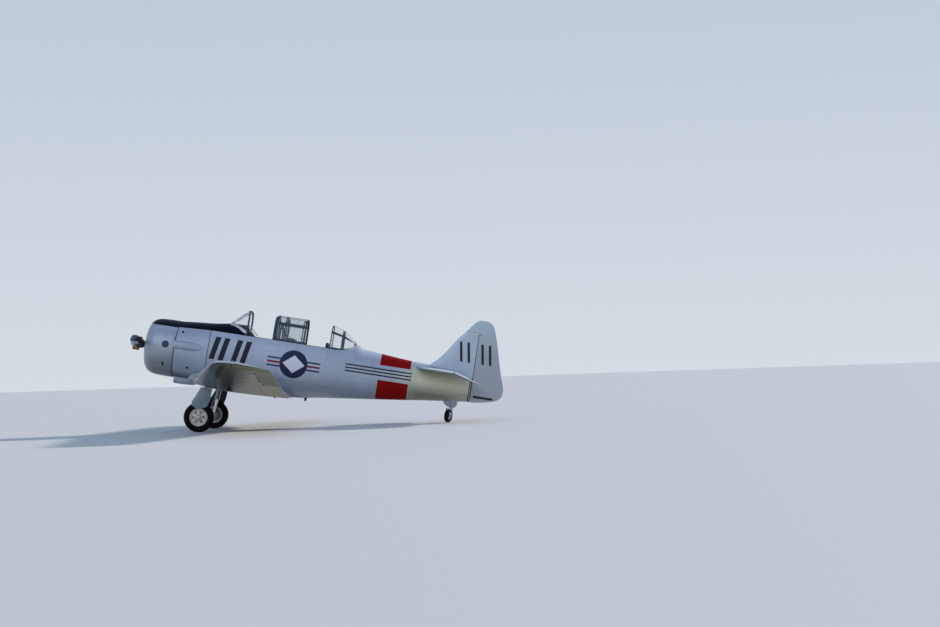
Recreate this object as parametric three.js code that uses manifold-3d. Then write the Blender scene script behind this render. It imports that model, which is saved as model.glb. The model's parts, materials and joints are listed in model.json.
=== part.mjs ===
// Two-seat, low-wing training aircraft with a radial engine, a tail wheel and a tandem cockpit.
// Datum frame, in millimetres: x runs aft from the front of the propeller hub along the thrust
// line, y runs to starboard, and z runs up from the thrust line. The last lines pitch the whole
// aircraft nose up until all three tyres stand on z = 0, with the origin under the box's centre.
import * as THREE from "three";
import { mergeVertices } from "three/addons/utils/BufferGeometryUtils.js";
import Module from "manifold-3d";

const wasm = await Module();
wasm.setup();

// Driving dimensions
const GROUND_ANGLE = THREE.MathUtils.degToRad(10.65);
const GAP = 0.4; // between two fixed pieces that meet
const CLEAR = 8; // between a moving surface and what it turns in
const HALF_SPAN = 6405;
const JOINT_Y = 1420; // where each outer wing panel bolts to the centre section
const COWL = { front: 405, back: 1116, radius: 667, lip: 400, wall: 14 };
const PROP = { x: 235, turned: THREE.MathUtils.degToRad(-4.5) };
const FIREWALL_X = 1900;
const FUSELAGE_SPLIT_X = 5300;
const TAIL_END_X = 8035;
const SILL_Z = 555;
const SILL_START_X = 2700;
const LEDGE = { y: 318, bottom: 480 }; // the canopy's rails run on this ledge
const TYRE = { radius: 343, width: 220, rim: 205, sides: 24 };
const TAIL_TYRE = { radius: 159, width: 110, rim: 80, sides: 18 };
const AXLE = { x: 2040, z: -1444, y: 1310 };
const STRUT = { y: 1130, topX: 2105, topZ: -600 };
const TRUNNION_Z = -625; // the leg's pivot, fore and aft across its slot in the wing
const STAB = { z: 430, hinge: 7650 };
const RUDDER_HINGE_X = 8100;
const HORN_Z = 1420; // the rudder's balance horn starts here, above the fin
const CASTOR = THREE.MathUtils.degToRad(248); // how far the tail wheel has swung in the photograph
const ELEVATOR_DROOP = THREE.MathUtils.degToRad(16);

// Paints and materials
const paint = (color, roughness, metalness) =>
  new THREE.MeshStandardMaterial({ color, roughness, metalness });
const SILVER = paint(0xaab2c2, 0.4, 0.55);
const BLACK = paint(0x16181c, 0.6, 0);
const FRAME = paint(0x54636f, 0.5, 0.3);
const GLASS = new THREE.MeshStandardMaterial({
  color: 0xbfd6d6, roughness: 0.05, metalness: 0, transparent: true, opacity: 0.35,
});
const STEEL = paint(0x8c9096, 0.35, 0.9);
const RUBBER = paint(0x17171a, 0.85, 0);
const LEATHER = paint(0x3c4238, 0.8, 0);

// Solids
const at = (x, y, z) => new THREE.Matrix4().makeTranslation(x, y, z);

// A closed three.js geometry as a solid that can be joined and cut, its faces turned outwards.
function solid(geometry, matrix) {
  const bare = new THREE.BufferGeometry();
  bare.setAttribute("position", geometry.getAttribute("position").clone());
  if (geometry.index) bare.setIndex(geometry.index.clone());
  if (matrix) bare.applyMatrix4(matrix);
  const merged = mergeVertices(bare, 1e-3);
  const corners = merged.index.array;
  const faces = [];
  for (let i = 0; i < corners.length; i += 3) {
    const [a, b, c] = [corners[i], corners[i + 1], corners[i + 2]];
    if (a !== b && b !== c && c !== a) faces.push(a, b, c);
  }
  const made = (list) =>
    new wasm.Manifold(new wasm.Mesh({
      numProp: 3,
      vertProperties: new Float32Array(merged.attributes.position.array),
      triVerts: new Uint32Array(list),
    }));
  const first = made(faces);
  if (first.volume() > 0) return first;
  const turned = [];
  for (let i = 0; i < faces.length; i += 3) turned.push(faces[i], faces[i + 2], faces[i + 1]);
  return made(turned);
}

function geometryOf(shape) {
  const mesh = shape.getMesh();
  const points = new Float32Array(mesh.numVert * 3);
  for (let i = 0; i < mesh.numVert; i++) {
    points.set(mesh.vertProperties.subarray(i * mesh.numProp, i * mesh.numProp + 3), i * 3);
  }
  return new THREE.BufferGeometry()
    .setAttribute("position", new THREE.BufferAttribute(points, 3))
    .setIndex(new THREE.BufferAttribute(new Uint32Array(mesh.triVerts), 1));
}

const box = (x0, x1, y0, y1, z0, z1) =>
  solid(new THREE.BoxGeometry(x1 - x0, y1 - y0, z1 - z0),
    at((x0 + x1) / 2, (y0 + y1) / 2, (z0 + z1) / 2));

// A round bar between two points, its radius changing from r0 to r1.
function bar(from, to, r0, r1 = r0, sides = 16) {
  const a = new THREE.Vector3(...from);
  const along = new THREE.Vector3(...to).sub(a);
  const turn = new THREE.Quaternion().setFromUnitVectors(
    new THREE.Vector3(0, 1, 0), along.clone().normalize());
  const middle = a.clone().addScaledVector(along, 0.5);
  const place = new THREE.Matrix4().compose(middle, turn, new THREE.Vector3(1, 1, 1));
  return solid(new THREE.CylinderGeometry(r1, r0, along.length(), sides), place);
}

// Spins a profile of [along x, radius] points about the x axis, with a corner or a flat lowest.
function spunAboutX(profile, sides, flatLowest = false) {
  const points = profile.map(([x, r]) => new THREE.Vector2(r, x));
  const geometry = new THREE.LatheGeometry(points, sides);
  const toX = new THREE.Matrix4().makeRotationZ(-Math.PI / 2);
  const phase = new THREE.Matrix4().makeRotationX(flatLowest ? Math.PI / sides : 0);
  return solid(geometry, phase.multiply(toX));
}

// Joins rings of equally many points into one closed skin, with a fan on each end.
function loft(rings) {
  const count = rings[0].length;
  const points = rings.flat();
  const faces = [];
  for (let r = 0; r + 1 < rings.length; r++) {
    for (let i = 0; i < count; i++) {
      const a = r * count + i;
      const b = r * count + ((i + 1) % count);
      faces.push(a, b, b + count, a, b + count, a + count);
    }
  }
  const middle = (ring) =>
    [0, 1, 2].map((k) => ring.reduce((sum, p) => sum + p[k], 0) / ring.length);
  const start = points.push(middle(rings[0])) - 1;
  const end = points.push(middle(rings[rings.length - 1])) - 1;
  const last = (rings.length - 1) * count;
  for (let i = 0; i < count; i++) {
    const next = (i + 1) % count;
    faces.push(start, next, i, end, last + i, last + next);
  }
  const geometry = new THREE.BufferGeometry()
    .setAttribute("position", new THREE.Float32BufferAttribute(points.flat(), 3));
  geometry.setIndex(faces);
  return solid(geometry);
}

const mix = (a, b, t) => a + (b - a) * t;

// Reads a table of rows at any place along its first column.
function along(table, place) {
  const after = table.findIndex((row) => row[0] >= place);
  if (after === 0) return table[0];
  if (after < 0) return table[table.length - 1];
  const [a, b] = [table[after - 1], table[after]];
  const t = (place - a[0]) / (b[0] - a[0]);
  return a.map((value, k) => mix(value, b[k], t));
}

// The same solid moved a little each way, so that what it cuts keeps a gap to it.
function grown(shape, by = GAP) {
  const moves = [[by, 0, 0], [-by, 0, 0], [0, by, 0], [0, -by, 0], [0, 0, by], [0, 0, -by]];
  return wasm.Manifold.union(moves.map((move) => shape.translate(move)));
}

// Fuselage
// x, top, bottom, half width, height of the widest line, squareness above it and below it
const STATIONS = [
  [1130, 664, -655, 640, 0, 2.0, 2.0],
  [1500, 700, -665, 612, -10, 2.1, 2.1],
  [1900, 735, -668, 580, -20, 2.2, 2.2],
  [2300, 790, -672, 552, -30, 2.2, 2.2],
  [2700, 805, -680, 532, -40, 2.2, 2.3],
  [3300, 805, -690, 518, -45, 2.2, 2.3],
  [3985, 800, -704, 510, -45, 2.2, 2.3],
  [4600, 785, -622, 485, -30, 2.2, 2.2],
  [5300, 750, -534, 420, 10, 2.1, 2.2],
  [5500, 672, -508, 398, 20, 2.1, 2.2],
  [5900, 626, -458, 350, 45, 2.1, 2.2],
  [6600, 566, -367, 268, 80, 2.1, 2.2],
  [7100, 545, -300, 205, 105, 2.1, 2.2],
  [7600, 505, -240, 138, 125, 2.1, 2.2],
  [8035, 455, -186, 52, 135, 2.1, 2.2],
];
const RING = 24;

function fuselageRing(x, inset = 0) {
  const [, top, bottom, width, middle, above, below] = along(STATIONS, x);
  return Array.from({ length: RING }, (_, i) => {
    const angle = (i / RING) * Math.PI * 2;
    const [c, s] = [Math.cos(angle), Math.sin(angle)];
    const power = 2 / (s >= 0 ? above : below);
    const reach = s >= 0 ? top - inset - middle : middle - bottom - inset;
    const y = Math.sign(c) * Math.abs(c) ** power * (width - inset);
    const z = middle + Math.sign(s) * Math.abs(s) ** power * reach;
    return [x, y, z];
  });
}

function fuselagePart(from, to, inset = 0) {
  const inner = STATIONS.map((row) => row[0]).filter((x) => x > from + 1 && x < to - 1);
  return loft([from, ...inner, to].map((x) => fuselageRing(x, inset)));
}

// Wing
// y, leading edge, trailing edge, leading edge height, trailing edge height, thickness ratio
const CENTRE_STATIONS = [
  [0, 1600, 3985, -606, -700, 0.14],
  [250, 1590, 3985, -606, -700, 0.14],
  [880, 1590, 3985, -606, -700, 0.14],
  [1180, 1730, 3985, -600, -700, 0.15],
  [1420, 1790, 3985, -600, -700, 0.15],
];
const OUTER_STATIONS = [
  [1420, 1790, 3985, -600, -700, 0.15],
  [5700, 2700, 3985, -135, -165, 0.1],
  [5950, 2775, 3985, -106, -133, 0.098],
  [6150, 2885, 3975, -80, -106, 0.092],
  [6290, 3020, 3945, -62, -86, 0.082],
  [6370, 3170, 3895, -50, -72, 0.066],
  [6405, 3350, 3820, -43, -60, 0.04],
];
const CAMBER = 0.02;
const CAMBER_PLACE = 0.4;
const EDGE = 0.0016; // half thickness left at the trailing edge, as a share of the chord
const FOIL_STEPS = 8;

function foilHeights(s, ratio, camber) {
  const half = 5 * ratio * (0.2969 * Math.sqrt(s) - 0.126 * s - 0.3516 * s ** 2
    + 0.2843 * s ** 3 - 0.1036 * s ** 4) + EDGE * s;
  const p = CAMBER_PLACE;
  const line = s < p
    ? (camber / p ** 2) * (2 * p * s - s ** 2)
    : (camber / (1 - p) ** 2) * (1 - 2 * p + 2 * p * s - s ** 2);
  return [line + half, line - half];
}

// Points round an aerofoil, from the trailing edge over the top and back below.
function foil(ratio, camber, steps = FOIL_STEPS) {
  const spots = Array.from({ length: steps + 1 }, (_, i) =>
    (1 - Math.cos((i / steps) * Math.PI)) / 2);
  const upper = [...spots].reverse().map((s) => [s, foilHeights(s, ratio, camber)[0]]);
  const lower = spots.slice(1).map((s) => [s, foilHeights(s, ratio, camber)[1]]);
  return [...upper, ...lower];
}

function wingRing(table, place, side) {
  const [y, front, back, frontZ, backZ, ratio] = along(table, place);
  const chord = back - front;
  return foil(ratio, CAMBER).map(([s, h]) =>
    [front + s * chord, y * side, mix(frontZ, backZ, s) + h * chord]);
}

function wingPart(table, from, to, side) {
  const inner = table.map((row) => row[0]).filter((y) => y > from && y < to);
  return loft([from, ...inner, to].map((y) => wingRing(table, y, side)));
}

// Hinges
// A local frame on a hinge line: its x points aft, its z runs along the line.
function hingeFrame(from, to) {
  const start = new THREE.Vector3(...from);
  const z = new THREE.Vector3(...to).sub(start).normalize();
  const x = new THREE.Vector3(1, 0, 0).addScaledVector(z, -z.x).normalize();
  const y = new THREE.Vector3().crossVectors(z, x);
  const matrix = new THREE.Matrix4().makeBasis(x, y, z).setPosition(start);
  return { matrix, start, axis: z, length: start.distanceTo(new THREE.Vector3(...to)) };
}

const inFrame = (shape, frame) => solid(geometryOf(shape), frame.matrix);
const LUG = { half: 7, tall: 13, reach: 14, pin: 7, slot: 13, deep: 24 };

// Carries a moving surface on lugs: each lug reaches from the fixed piece through a slot in the
// surface's nose, and a pin in the surface passes through the lug's eye.
function hangOnLugs(fixed, moving, frame, nose, shares) {
  let [held, swung] = [fixed, moving];
  for (const share of shares) {
    const z = frame.length * share;
    const slot = box(-nose - 60, LUG.deep, -400, 400, z - LUG.slot, z + LUG.slot);
    const lug = box(-nose - CLEAR - 30, LUG.reach, -LUG.tall, LUG.tall, z - LUG.half, z + LUG.half)
      .subtract(bar([0, 0, z - 50], [0, 0, z + 50], LUG.pin + 0.6, LUG.pin + 0.6, 8));
    const pin = bar([0, 0, z - LUG.slot - 6], [0, 0, z + LUG.slot + 6], LUG.pin, LUG.pin, 8);
    swung = swung.subtract(inFrame(slot, frame)).add(inFrame(pin, frame));
    held = held.add(inFrame(lug, frame));
  }
  return [held, swung];
}

// Splits a wing or tail surface on a hinge line into a fixed piece with a cove and a moving
// piece with a round nose. noses gives the nose radius at each end of the line.
function splitOnHinge(whole, frame, noses, endGap, reachAft) {
  const far = 2000;
  const run = frame.length;
  const cone = (extra, from, to) =>
    bar([0, 0, from], [0, 0, to], mix(noses[0], noses[1], from / run) + extra,
      mix(noses[0], noses[1], to / run) + extra, 20);
  const moving = inFrame(
    box(0, reachAft, -far, far, endGap, run - endGap).add(cone(0, endGap, run - endGap)), frame);
  const space = inFrame(box(0, reachAft, -far, far, 0, run).add(cone(CLEAR, 0, run)), frame);
  const fixed = whole.subtract(space);
  return [fixed, whole.intersect(moving)];
}

const aircraft = new THREE.Group();

function node(name, shape, material, parent = aircraft) {
  const geometry = geometryOf(shape);
  if (parent !== aircraft) geometry.applyMatrix4(parent.userData.restInverse);
  geometry.computeVertexNormals();
  const mesh = new THREE.Mesh(geometry, material);
  mesh.name = name;
  parent.add(mesh);
  return mesh;
}

// A group that turns about a line. Pieces are added where they are before it turns.
function turning(name, point, axis, angle = 0, parent = aircraft) {
  const group = new THREE.Group();
  const way = new THREE.Vector3(...axis).normalize();
  const outer = parent === aircraft ? new THREE.Matrix4() : parent.userData.restInverse;
  group.name = name;
  group.position.set(...point).applyMatrix4(outer);
  group.userData = {
    axis: way.toArray(),
    restInverse: new THREE.Matrix4().makeTranslation(-point[0], -point[1], -point[2]),
  };
  group.quaternion.setFromAxisAngle(way, angle);
  parent.add(group);
  return group;
}

// Nose
const LIP_PROFILE = [ // x aft of the cowl's front, radius
  [0, 405], [6, 440], [22, 485], [62, 555], [140, 620], [277, 656], [470, 667],
];
function cowl(extra = 0) {
  const outer = LIP_PROFILE.map(([x, r]) => [COWL.front + x, r]);
  outer.push([COWL.back, COWL.radius - 2]);
  const inner = outer.slice(1).map(([x, r]) => [x + (x < COWL.back ? 10 : 0), r - COWL.wall - extra]);
  const bead = [[COWL.front + 18, COWL.lip - 10]];
  const closed = [...outer, ...inner.reverse(), ...bead, outer[0]];
  return spunAboutX(closed, 32);
}

function engine() {
  const cylinders = 9;
  const middleX = 700;
  const crankcase = spunAboutX([
    [395, 0], [395, 70], [430, 120], [520, 165], [600, 215], [800, 225], [860, 300],
    [1060, 320], [1130 - GAP, 340], [1130 - GAP, 0],
  ], 18);
  const barrel = [[0, 0], [0, 68], [250, 68], [262, 92], [380, 98], [398, 60], [398, 0]];
  const parts = [crankcase];
  for (let i = 0; i < cylinders; i++) {
    const upright = spunAboutX(barrel.map(([x, r]) => [x + 200, r]), 8);
    const rocker = box(560, 632, -40, 40, -34, 34);
    const whole = upright.add(rocker).rotate([0, -90, 0]);
    parts.push(whole.translate([middleX, 0, 0]).rotate([(360 / cylinders) * i, 0, 0]));
  }
  const mounts = [60, 180, 300].map((turn) =>
    box(810, 860, -20, 20, 210, 655).rotate([turn, 0, 0]));
  return wasm.Manifold.union([...parts, ...mounts]).subtract(cowl(0.6));
}

// Radius, chord, pitch in degrees and thickness ratio of a blade
const BLADE = [
  [95, 92, 60, 0.95],
  [240, 120, 52, 0.55],
  [420, 178, 43, 0.22],
  [700, 214, 32, 0.12],
  [1000, 200, 25, 0.09],
  [1270, 150, 21, 0.08],
  [1370, 60, 19, 0.06],
];
function blade(side) {
  const rings = BLADE.map(([r, chord, pitch, ratio]) => {
    const angle = THREE.MathUtils.degToRad(pitch);
    return foil(ratio, 0, 5).map(([s, h]) => {
      const [u, v] = [(s - 0.4) * chord, h * chord];
      const x = u * Math.sin(angle) - v * Math.cos(angle);
      const z = (-u * Math.cos(angle) - v * Math.sin(angle)) * side;
      return [PROP.x + x, r * side, z];
    });
  });
  return loft(rings);
}

function propeller() {
  const hub = spunAboutX([
    [0, 0], [6, 45], [30, 78], [75, 95], [150, 97], [160, 104], [310, 104], [318, 78],
    [395 - GAP, 78], [395 - GAP, 0],
  ], 18);
  const barrels = [-1, 1].map((side) =>
    bar([PROP.x, 40 * side, 0], [PROP.x, 190 * side, 0], 68, 60, 12));
  return wasm.Manifold.union([hub, ...barrels, blade(-1), blade(1)]);
}

// Panels from the cowl back to the firewall, with the long intake blister on the port side.
const BLISTER = { z: 105, tall: 105, deep: 80, back: 1840 };
function intakeBlister() {
  const stations = [[1130, 1], [1450, 1], [1700, 0.75], [BLISTER.back, 0.1]];
  return loft(stations.map(([x, share]) =>
    Array.from({ length: 16 }, (_, i) => {
      const angle = (i / 16) * Math.PI * 2;
      const width = along(STATIONS, x)[3];
      return [x, -(width - 40) - Math.cos(angle) * (BLISTER.deep * share + 4),
        BLISTER.z + Math.sin(angle) * BLISTER.tall * share];
    })));
}

const EXHAUST = { z: -330, radius: 66, wall: 5 };
function exhaustPipe(radius) {
  const path = new THREE.CatmullRomCurve3([
    new THREE.Vector3(1172, 560, EXHAUST.z + 45),
    new THREE.Vector3(1280, 625, EXHAUST.z + 25),
    new THREE.Vector3(1460, 690, EXHAUST.z),
    new THREE.Vector3(1700, 708, EXHAUST.z - 10),
    new THREE.Vector3(1960, 705, EXHAUST.z - 20),
  ]);
  const section = new THREE.Shape().absarc(0, 0, radius, 0, Math.PI * 2);
  return solid(new THREE.ExtrudeGeometry(section, {
    steps: 9, curveSegments: 6, extrudePath: path,
  }));
}

function oilCoolerScoop() {
  const stations = [[1150, 150, -794], [1500, 150, -790], [1640, 130, -770], [1760, 90, -700]];
  return loft(stations.map(([x, half, low]) => [
    [x, -half, -600], [x, half, -600], [x, half, low + 30], [x, half - 30, low],
    [x, -half + 30, low], [x, -half, low + 30],
  ]));
}

// Wing centre section, with its wheel wells and the slots for the legs
const WELL = { x: 2062, y: 545, radius: 372, roof: -505, slot: 110 };
function wingCentreOutside() {
  const half = CENTRE_STATIONS.map((row) => row[0]);
  const places = [...half.slice(1).reverse().map((y) => -y), ...half];
  return loft(places.map((y) => wingRing(CENTRE_STATIONS, Math.abs(y), Math.sign(y) || 1)));
}
function wingCentre() {
  let wing = wingCentreOutside();
  for (const side of [-1, 1]) {
    const y = WELL.y * side;
    wing = wing.subtract(bar([WELL.x, y, -900], [WELL.x, y, WELL.roof], WELL.radius, WELL.radius, 32));
    const [y0, y1] = side < 0 ? [-1215, -800] : [800, 1215];
    wing = wing.subtract(
      box(WELL.x - WELL.slot, WELL.x + WELL.slot + 40, y0, y1, -900, WELL.roof - 60));
  }
  return wing;
}

// A split flap lies in the wing's lower skin and turns down about its front edge.
const FLAP = { front: 3470, back: 3940, thick: 14, edge: 7 };
function lowerSkin(table, y, x) {
  const [, front, back, frontZ, backZ, ratio] = along(table, Math.abs(y));
  const s = (x - front) / (back - front);
  return mix(frontZ, backZ, s) + foilHeights(s, ratio, CAMBER)[1] * (back - front);
}
function flapPlate(table, y0, y1, space) {
  const [front, back] = [FLAP.front - (space ? GAP : 0), FLAP.back + space];
  const below = space ? 40 : 0;
  return loft([y0 - space, y1 + space].map((y) => {
    const skin = (x) => lowerSkin(table, y, x);
    return [
      [front, y, skin(front) - below], [back, y, skin(back) - below],
      [back, y, skin(back) + FLAP.edge + space], [front, y, skin(front) + FLAP.thick + space],
    ];
  }));
}

// Tail surfaces
// y, leading edge, trailing edge, thickness ratio
const STAB_STATIONS = [
  [100, 6755, 8365, 0.065],
  [1000, 6990, 8355, 0.065],
  [1600, 7160, 8275, 0.063],
  [1800, 7245, 8180, 0.058],
  [1920, 7350, 8035, 0.048],
  [1985, 7530, 7790, 0.03],
];
function tailplane(side) {
  return loft(STAB_STATIONS.map(([y, front, back, ratio]) =>
    foil(ratio, 0).map(([s, h]) =>
      [mix(front, back, s), y * side, STAB.z + h * (back - front)])));
}

// z, leading edge, trailing edge, thickness ratio
const FIN_STATIONS = [
  [-187, 7040, 8180, 0.045],
  [-150, 7040, 8400, 0.045],
  [-85, 7040, 8670, 0.05],
  [0, 7040, 8798, 0.055],
  [110, 7040, 8844, 0.058],
  [220, 7040, 8840, 0.06],
  [400, 7040, 8787, 0.062],
  [520, 7045, 8748, 0.064],
  [700, 7215, 8692, 0.064],
  [920, 7390, 8634, 0.064],
  [1240, 7602, 8548, 0.064],
  [1420, 7752, 8492, 0.062],
  [1560, 7862, 8446, 0.06],
  [1660, 7940, 8400, 0.056],
  [1725, 8010, 8325, 0.05],
  [1760, 8080, 8235, 0.04],
];
function finAndRudder() {
  return loft(FIN_STATIONS.map(([z, front, back, ratio]) =>
    foil(ratio, 0).map(([s, h]) => [mix(front, back, s), h * (back - front), z])));
}

// Canopy
// Half of the fixed middle section's outline, from the sill to the top: y, z
const HOOP = [[345, SILL_Z + GAP], [348, 740], [326, 955], [258, 1052], [140, 1106], [0, 1122]];
const CANOPY = { frame: 8, glass: 4, step: 18, arch: 26 };

// The outline moved outwards by a distance, along the mean normal at each corner.
function hoopMoved(by, lift = 0) {
  return HOOP.map(([y, z], i) => {
    const a = HOOP[Math.max(i - 1, 0)];
    const b = i === HOOP.length - 1 ? [-HOOP[i - 1][0], HOOP[i - 1][1]] : HOOP[i + 1];
    const [dy, dz] = [b[0] - a[0], b[1] - a[1]];
    const size = Math.hypot(dy, dz);
    return [y + (dz / size) * by, i === 0 ? z : z + (-dy / size) * by + lift];
  });
}

// A whole closed outline at x from its half. base lowers or lifts the flat bottom.
const closedHoop = (x, half, base = 0) => [
  ...half.map(([y, z], i) => [x, y, i === 0 ? z + base : z]),
  ...half.slice(0, -1).reverse().map(([y, z], i, list) =>
    [x, -y, i === list.length - 1 ? z + base : z]),
];

function hoopShell(x0, x1, outer, inner) {
  const skin = loft([x0, x1].map((x) => closedHoop(x, hoopMoved(outer))));
  const core = loft([x0 - 50, x1 + 50].map((x) => closedHoop(x, hoopMoved(inner), -50)));
  return skin.subtract(core);
}

// Windows between arches: one low on each side and one each side of the roof's middle bar.
function windows(x0, x1) {
  return wasm.Manifold.union([
    box(x0, x1, -900, 900, 606, 930),
    box(x0, x1, 22, 296, 985, 1400),
    box(x0, x1, -296, -22, 985, 1400),
  ]);
}

function canopySection(x0, x1, base, arches) {
  const shell = hoopShell(x0, x1, base + CANOPY.frame + CANOPY.glass, base + CANOPY.glass);
  const edges = [x0 + CANOPY.arch, ...arches.flatMap((x) => [x, x + CANOPY.arch]),
    x1 - CANOPY.arch];
  let frame = shell;
  for (let i = 0; i + 1 < edges.length; i += 2) {
    frame = frame.subtract(windows(edges[i], edges[i + 1]));
  }
  const glass = hoopShell(x0 + 2, x1 - 2, base + CANOPY.glass - GAP, base);
  return [frame, glass];
}

// x, top, side width share and bottom of the fixed aft section
const AFT_SHAPE = [
  [4655, 1102, 1, 555],
  [4945, 1010, 0.9, 560],
  [5075, 925, 0.78, 595],
  [5175, 845, 0.62, 645],
  [5225, 805, 0.46, 690],
  [5262, 772, 0.3, 725],
];
function aftRing([x, top, share, low], by, deeper) {
  const height = HOOP[HOOP.length - 1][1] - HOOP[0][1];
  const half = hoopMoved(by).map(([y, z], i) => {
    const up = (z - HOOP[0][1]) / height;
    return [y * share, i === 0 ? low - deeper : low + up * (top - low)];
  });
  return closedHoop(x, half);
}
function aftShell(outer, inner, reach) {
  const rows = AFT_SHAPE;
  const skin = loft(rows.map((row) => aftRing(row, outer, 0)));
  const [first, final] = [[...rows[0]], [...rows[rows.length - 1]]];
  first[0] -= 60;
  final[0] += reach;
  const core = loft([first, ...rows.slice(0, -1), final].map((row) => aftRing(row, inner, 80)));
  return skin.subtract(core);
}
function aftCanopy() {
  const base = 0;
  const shell = aftShell(base + CANOPY.frame + CANOPY.glass, base + CANOPY.glass, 0.5);
  const sideBay = (points) => {
    const shape = new THREE.Shape(points.map(([x, z]) => new THREE.Vector2(x, z)));
    const slab = new THREE.ExtrudeGeometry(shape, { depth: 1800, bevelEnabled: false });
    return solid(slab, new THREE.Matrix4().makeRotationX(Math.PI / 2).setPosition(0, 900, 0));
  };
  const frame = shell
    .subtract(sideBay([[4682, 598], [4918, 600], [4918, 895], [4682, 925]]))
    .subtract(sideBay([[4958, 606], [5060, 640], [5140, 690], [5170, 735], [5080, 830],
      [4958, 885]]))
    .subtract(box(4682, 4918, 22, 290, 950, 1400))
    .subtract(box(4682, 4918, -290, -22, 950, 1400))
    .subtract(box(4958, 5215, 22, 280, 800, 1400))
    .subtract(box(4958, 5215, -280, -22, 800, 1400));
  const glass = aftShell(base + CANOPY.glass - GAP, base, 0.5);
  return [frame, glass];
}

// Windscreen: a flat sloping front pane between two side panes, closed by an arch.
const SCREEN = { base: 2300, top: 2672, arch: 2735, frontHalf: 165 };
function screenRing(x, share, by) {
  const half = hoopMoved(by + 20);
  const front = [
    [SCREEN.frontHalf + 20, 700], [SCREEN.frontHalf + 14, 740], [SCREEN.frontHalf + 4, 780],
    [SCREEN.frontHalf, 792], [SCREEN.frontHalf * 0.5, 796], [0, 798],
  ];
  return closedHoop(x, half.map(([y, z], i) => [
    mix(front[i][0] + by, y, share), mix(front[i][1] + by, z, share)]));
}
function screenSolid(by) {
  const rows = [[SCREEN.base, 0], [2480, 0.52], [SCREEN.top, 1], [SCREEN.arch, 1]];
  return loft(rows.map(([x, share]) => screenRing(x - by * 0.8, share, by)));
}

// Gear
function mainStrut(side) {
  const y = STRUT.y * side;
  const knee = [mix(STRUT.topX, AXLE.x, 0.55), y, mix(STRUT.topZ, AXLE.z, 0.55)];
  const piston = [mix(STRUT.topX, AXLE.x, 0.45), y, mix(STRUT.topZ, AXLE.z, 0.45)];
  const elbow = [knee[0] - 100, y, knee[2] - 110];
  const axleEnd = (AXLE.y + TYRE.width / 2 - 20) * side;
  return wasm.Manifold.union([
    bar([STRUT.topX, y, STRUT.topZ], knee, 58, 55, 12),
    bar([WELL.x - WELL.slot - 20, y, TRUNNION_Z], [WELL.x + WELL.slot + 60, y, TRUNNION_Z], 34, 34, 8),
    bar(piston, [AXLE.x, y, AXLE.z], 36, 38, 12),
    bar([AXLE.x, y - 45 * side, AXLE.z], [AXLE.x, axleEnd, AXLE.z], 30, 30, 12),
    bar([AXLE.x, y - 40 * side, AXLE.z], [AXLE.x, y + 62 * side, AXLE.z], 62, 62, 12),
    bar([knee[0], y, knee[2] + 20], elbow, 15, 13, 6),
    bar(elbow, [AXLE.x - 10, y, AXLE.z + 70], 13, 15, 6),
  ]);
}

// Outline of the leg's fairing plate: x, z
const PLATE = [
  [2010, -770], [2255, -770], [2250, -930], [2238, -1050], [2205, -1170], [2095, -1235],
  [1950, -1240], [1850, -1190], [1846, -1100], [1905, -985],
];
function legFairing(side) {
  const shape = new THREE.Shape(PLATE.map(([x, z]) => new THREE.Vector2(x, z)));
  const slab = new THREE.ExtrudeGeometry(shape, { depth: 12, bevelEnabled: false });
  const stand = new THREE.Matrix4().makeRotationX(Math.PI / 2);
  const plate = solid(slab, stand.setPosition(0, side > 0 ? 1452 : -1440, 0));
  const bracket = (z) => {
    const share = (z - STRUT.topZ) / (AXLE.z - STRUT.topZ);
    const x = mix(STRUT.topX, AXLE.x, share);
    return bar([x, STRUT.y * side, z], [x, 1446 * side, z], 16, 16, 6);
  };
  return wasm.Manifold.union([plate, bracket(-800), bracket(-1010)]);
}

function tyre(spec) {
  const half = spec.width / 2;
  const shoulder = spec.radius - half * 0.5;
  const closed = [
    [-half * 0.62, spec.rim], [-half, spec.rim + 34], [-half, shoulder - 12],
    [-half * 0.62, spec.radius - 12], [0, spec.radius],
    [half * 0.62, spec.radius - 12], [half, shoulder - 12], [half, spec.rim + 34],
    [half * 0.62, spec.rim], [-half * 0.62, spec.rim],
  ];
  return spunAboutX(closed, spec.sides, true);
}

function rim(spec, bore, side) {
  const half = spec.width / 2;
  const edge = spec.rim - GAP;
  const dish = 0.5 * half;
  const closed = [
    [-half * 0.6, bore], [-half * 0.6, edge], [half * 0.6, edge], [dish, edge - 40],
    [half * 0.72, bore + 46], [half * 0.72, bore], [-half * 0.6, bore],
  ];
  return spunAboutX(closed.map(([x, r]) => [x * side, r]), spec.sides, true);
}

// Turns a wheel made about x to lie about y, at its axle.
const toAxle = (shape, x, y, z) => shape.rotate([0, 0, 90]).translate([x, y, z]);

// Interior
function seat(x) {
  return wasm.Manifold.union([
    box(x, x + 400, -205, 205, -130, -105),
    box(x + 360, x + 392, -205, 205, -120, 560),
    box(x + 40, x + 330, -205, -185, -120, 30),
    box(x + 40, x + 330, 185, 205, -120, 30),
    box(x + 90, x + 120, -160, -130, -299.6, -110),
    box(x + 90, x + 120, 130, 160, -299.6, -110),
    box(x + 330, x + 360, -160, -130, -299.6, -110),
    box(x + 330, x + 360, 130, 160, -299.6, -110),
  ]);
}

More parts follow.
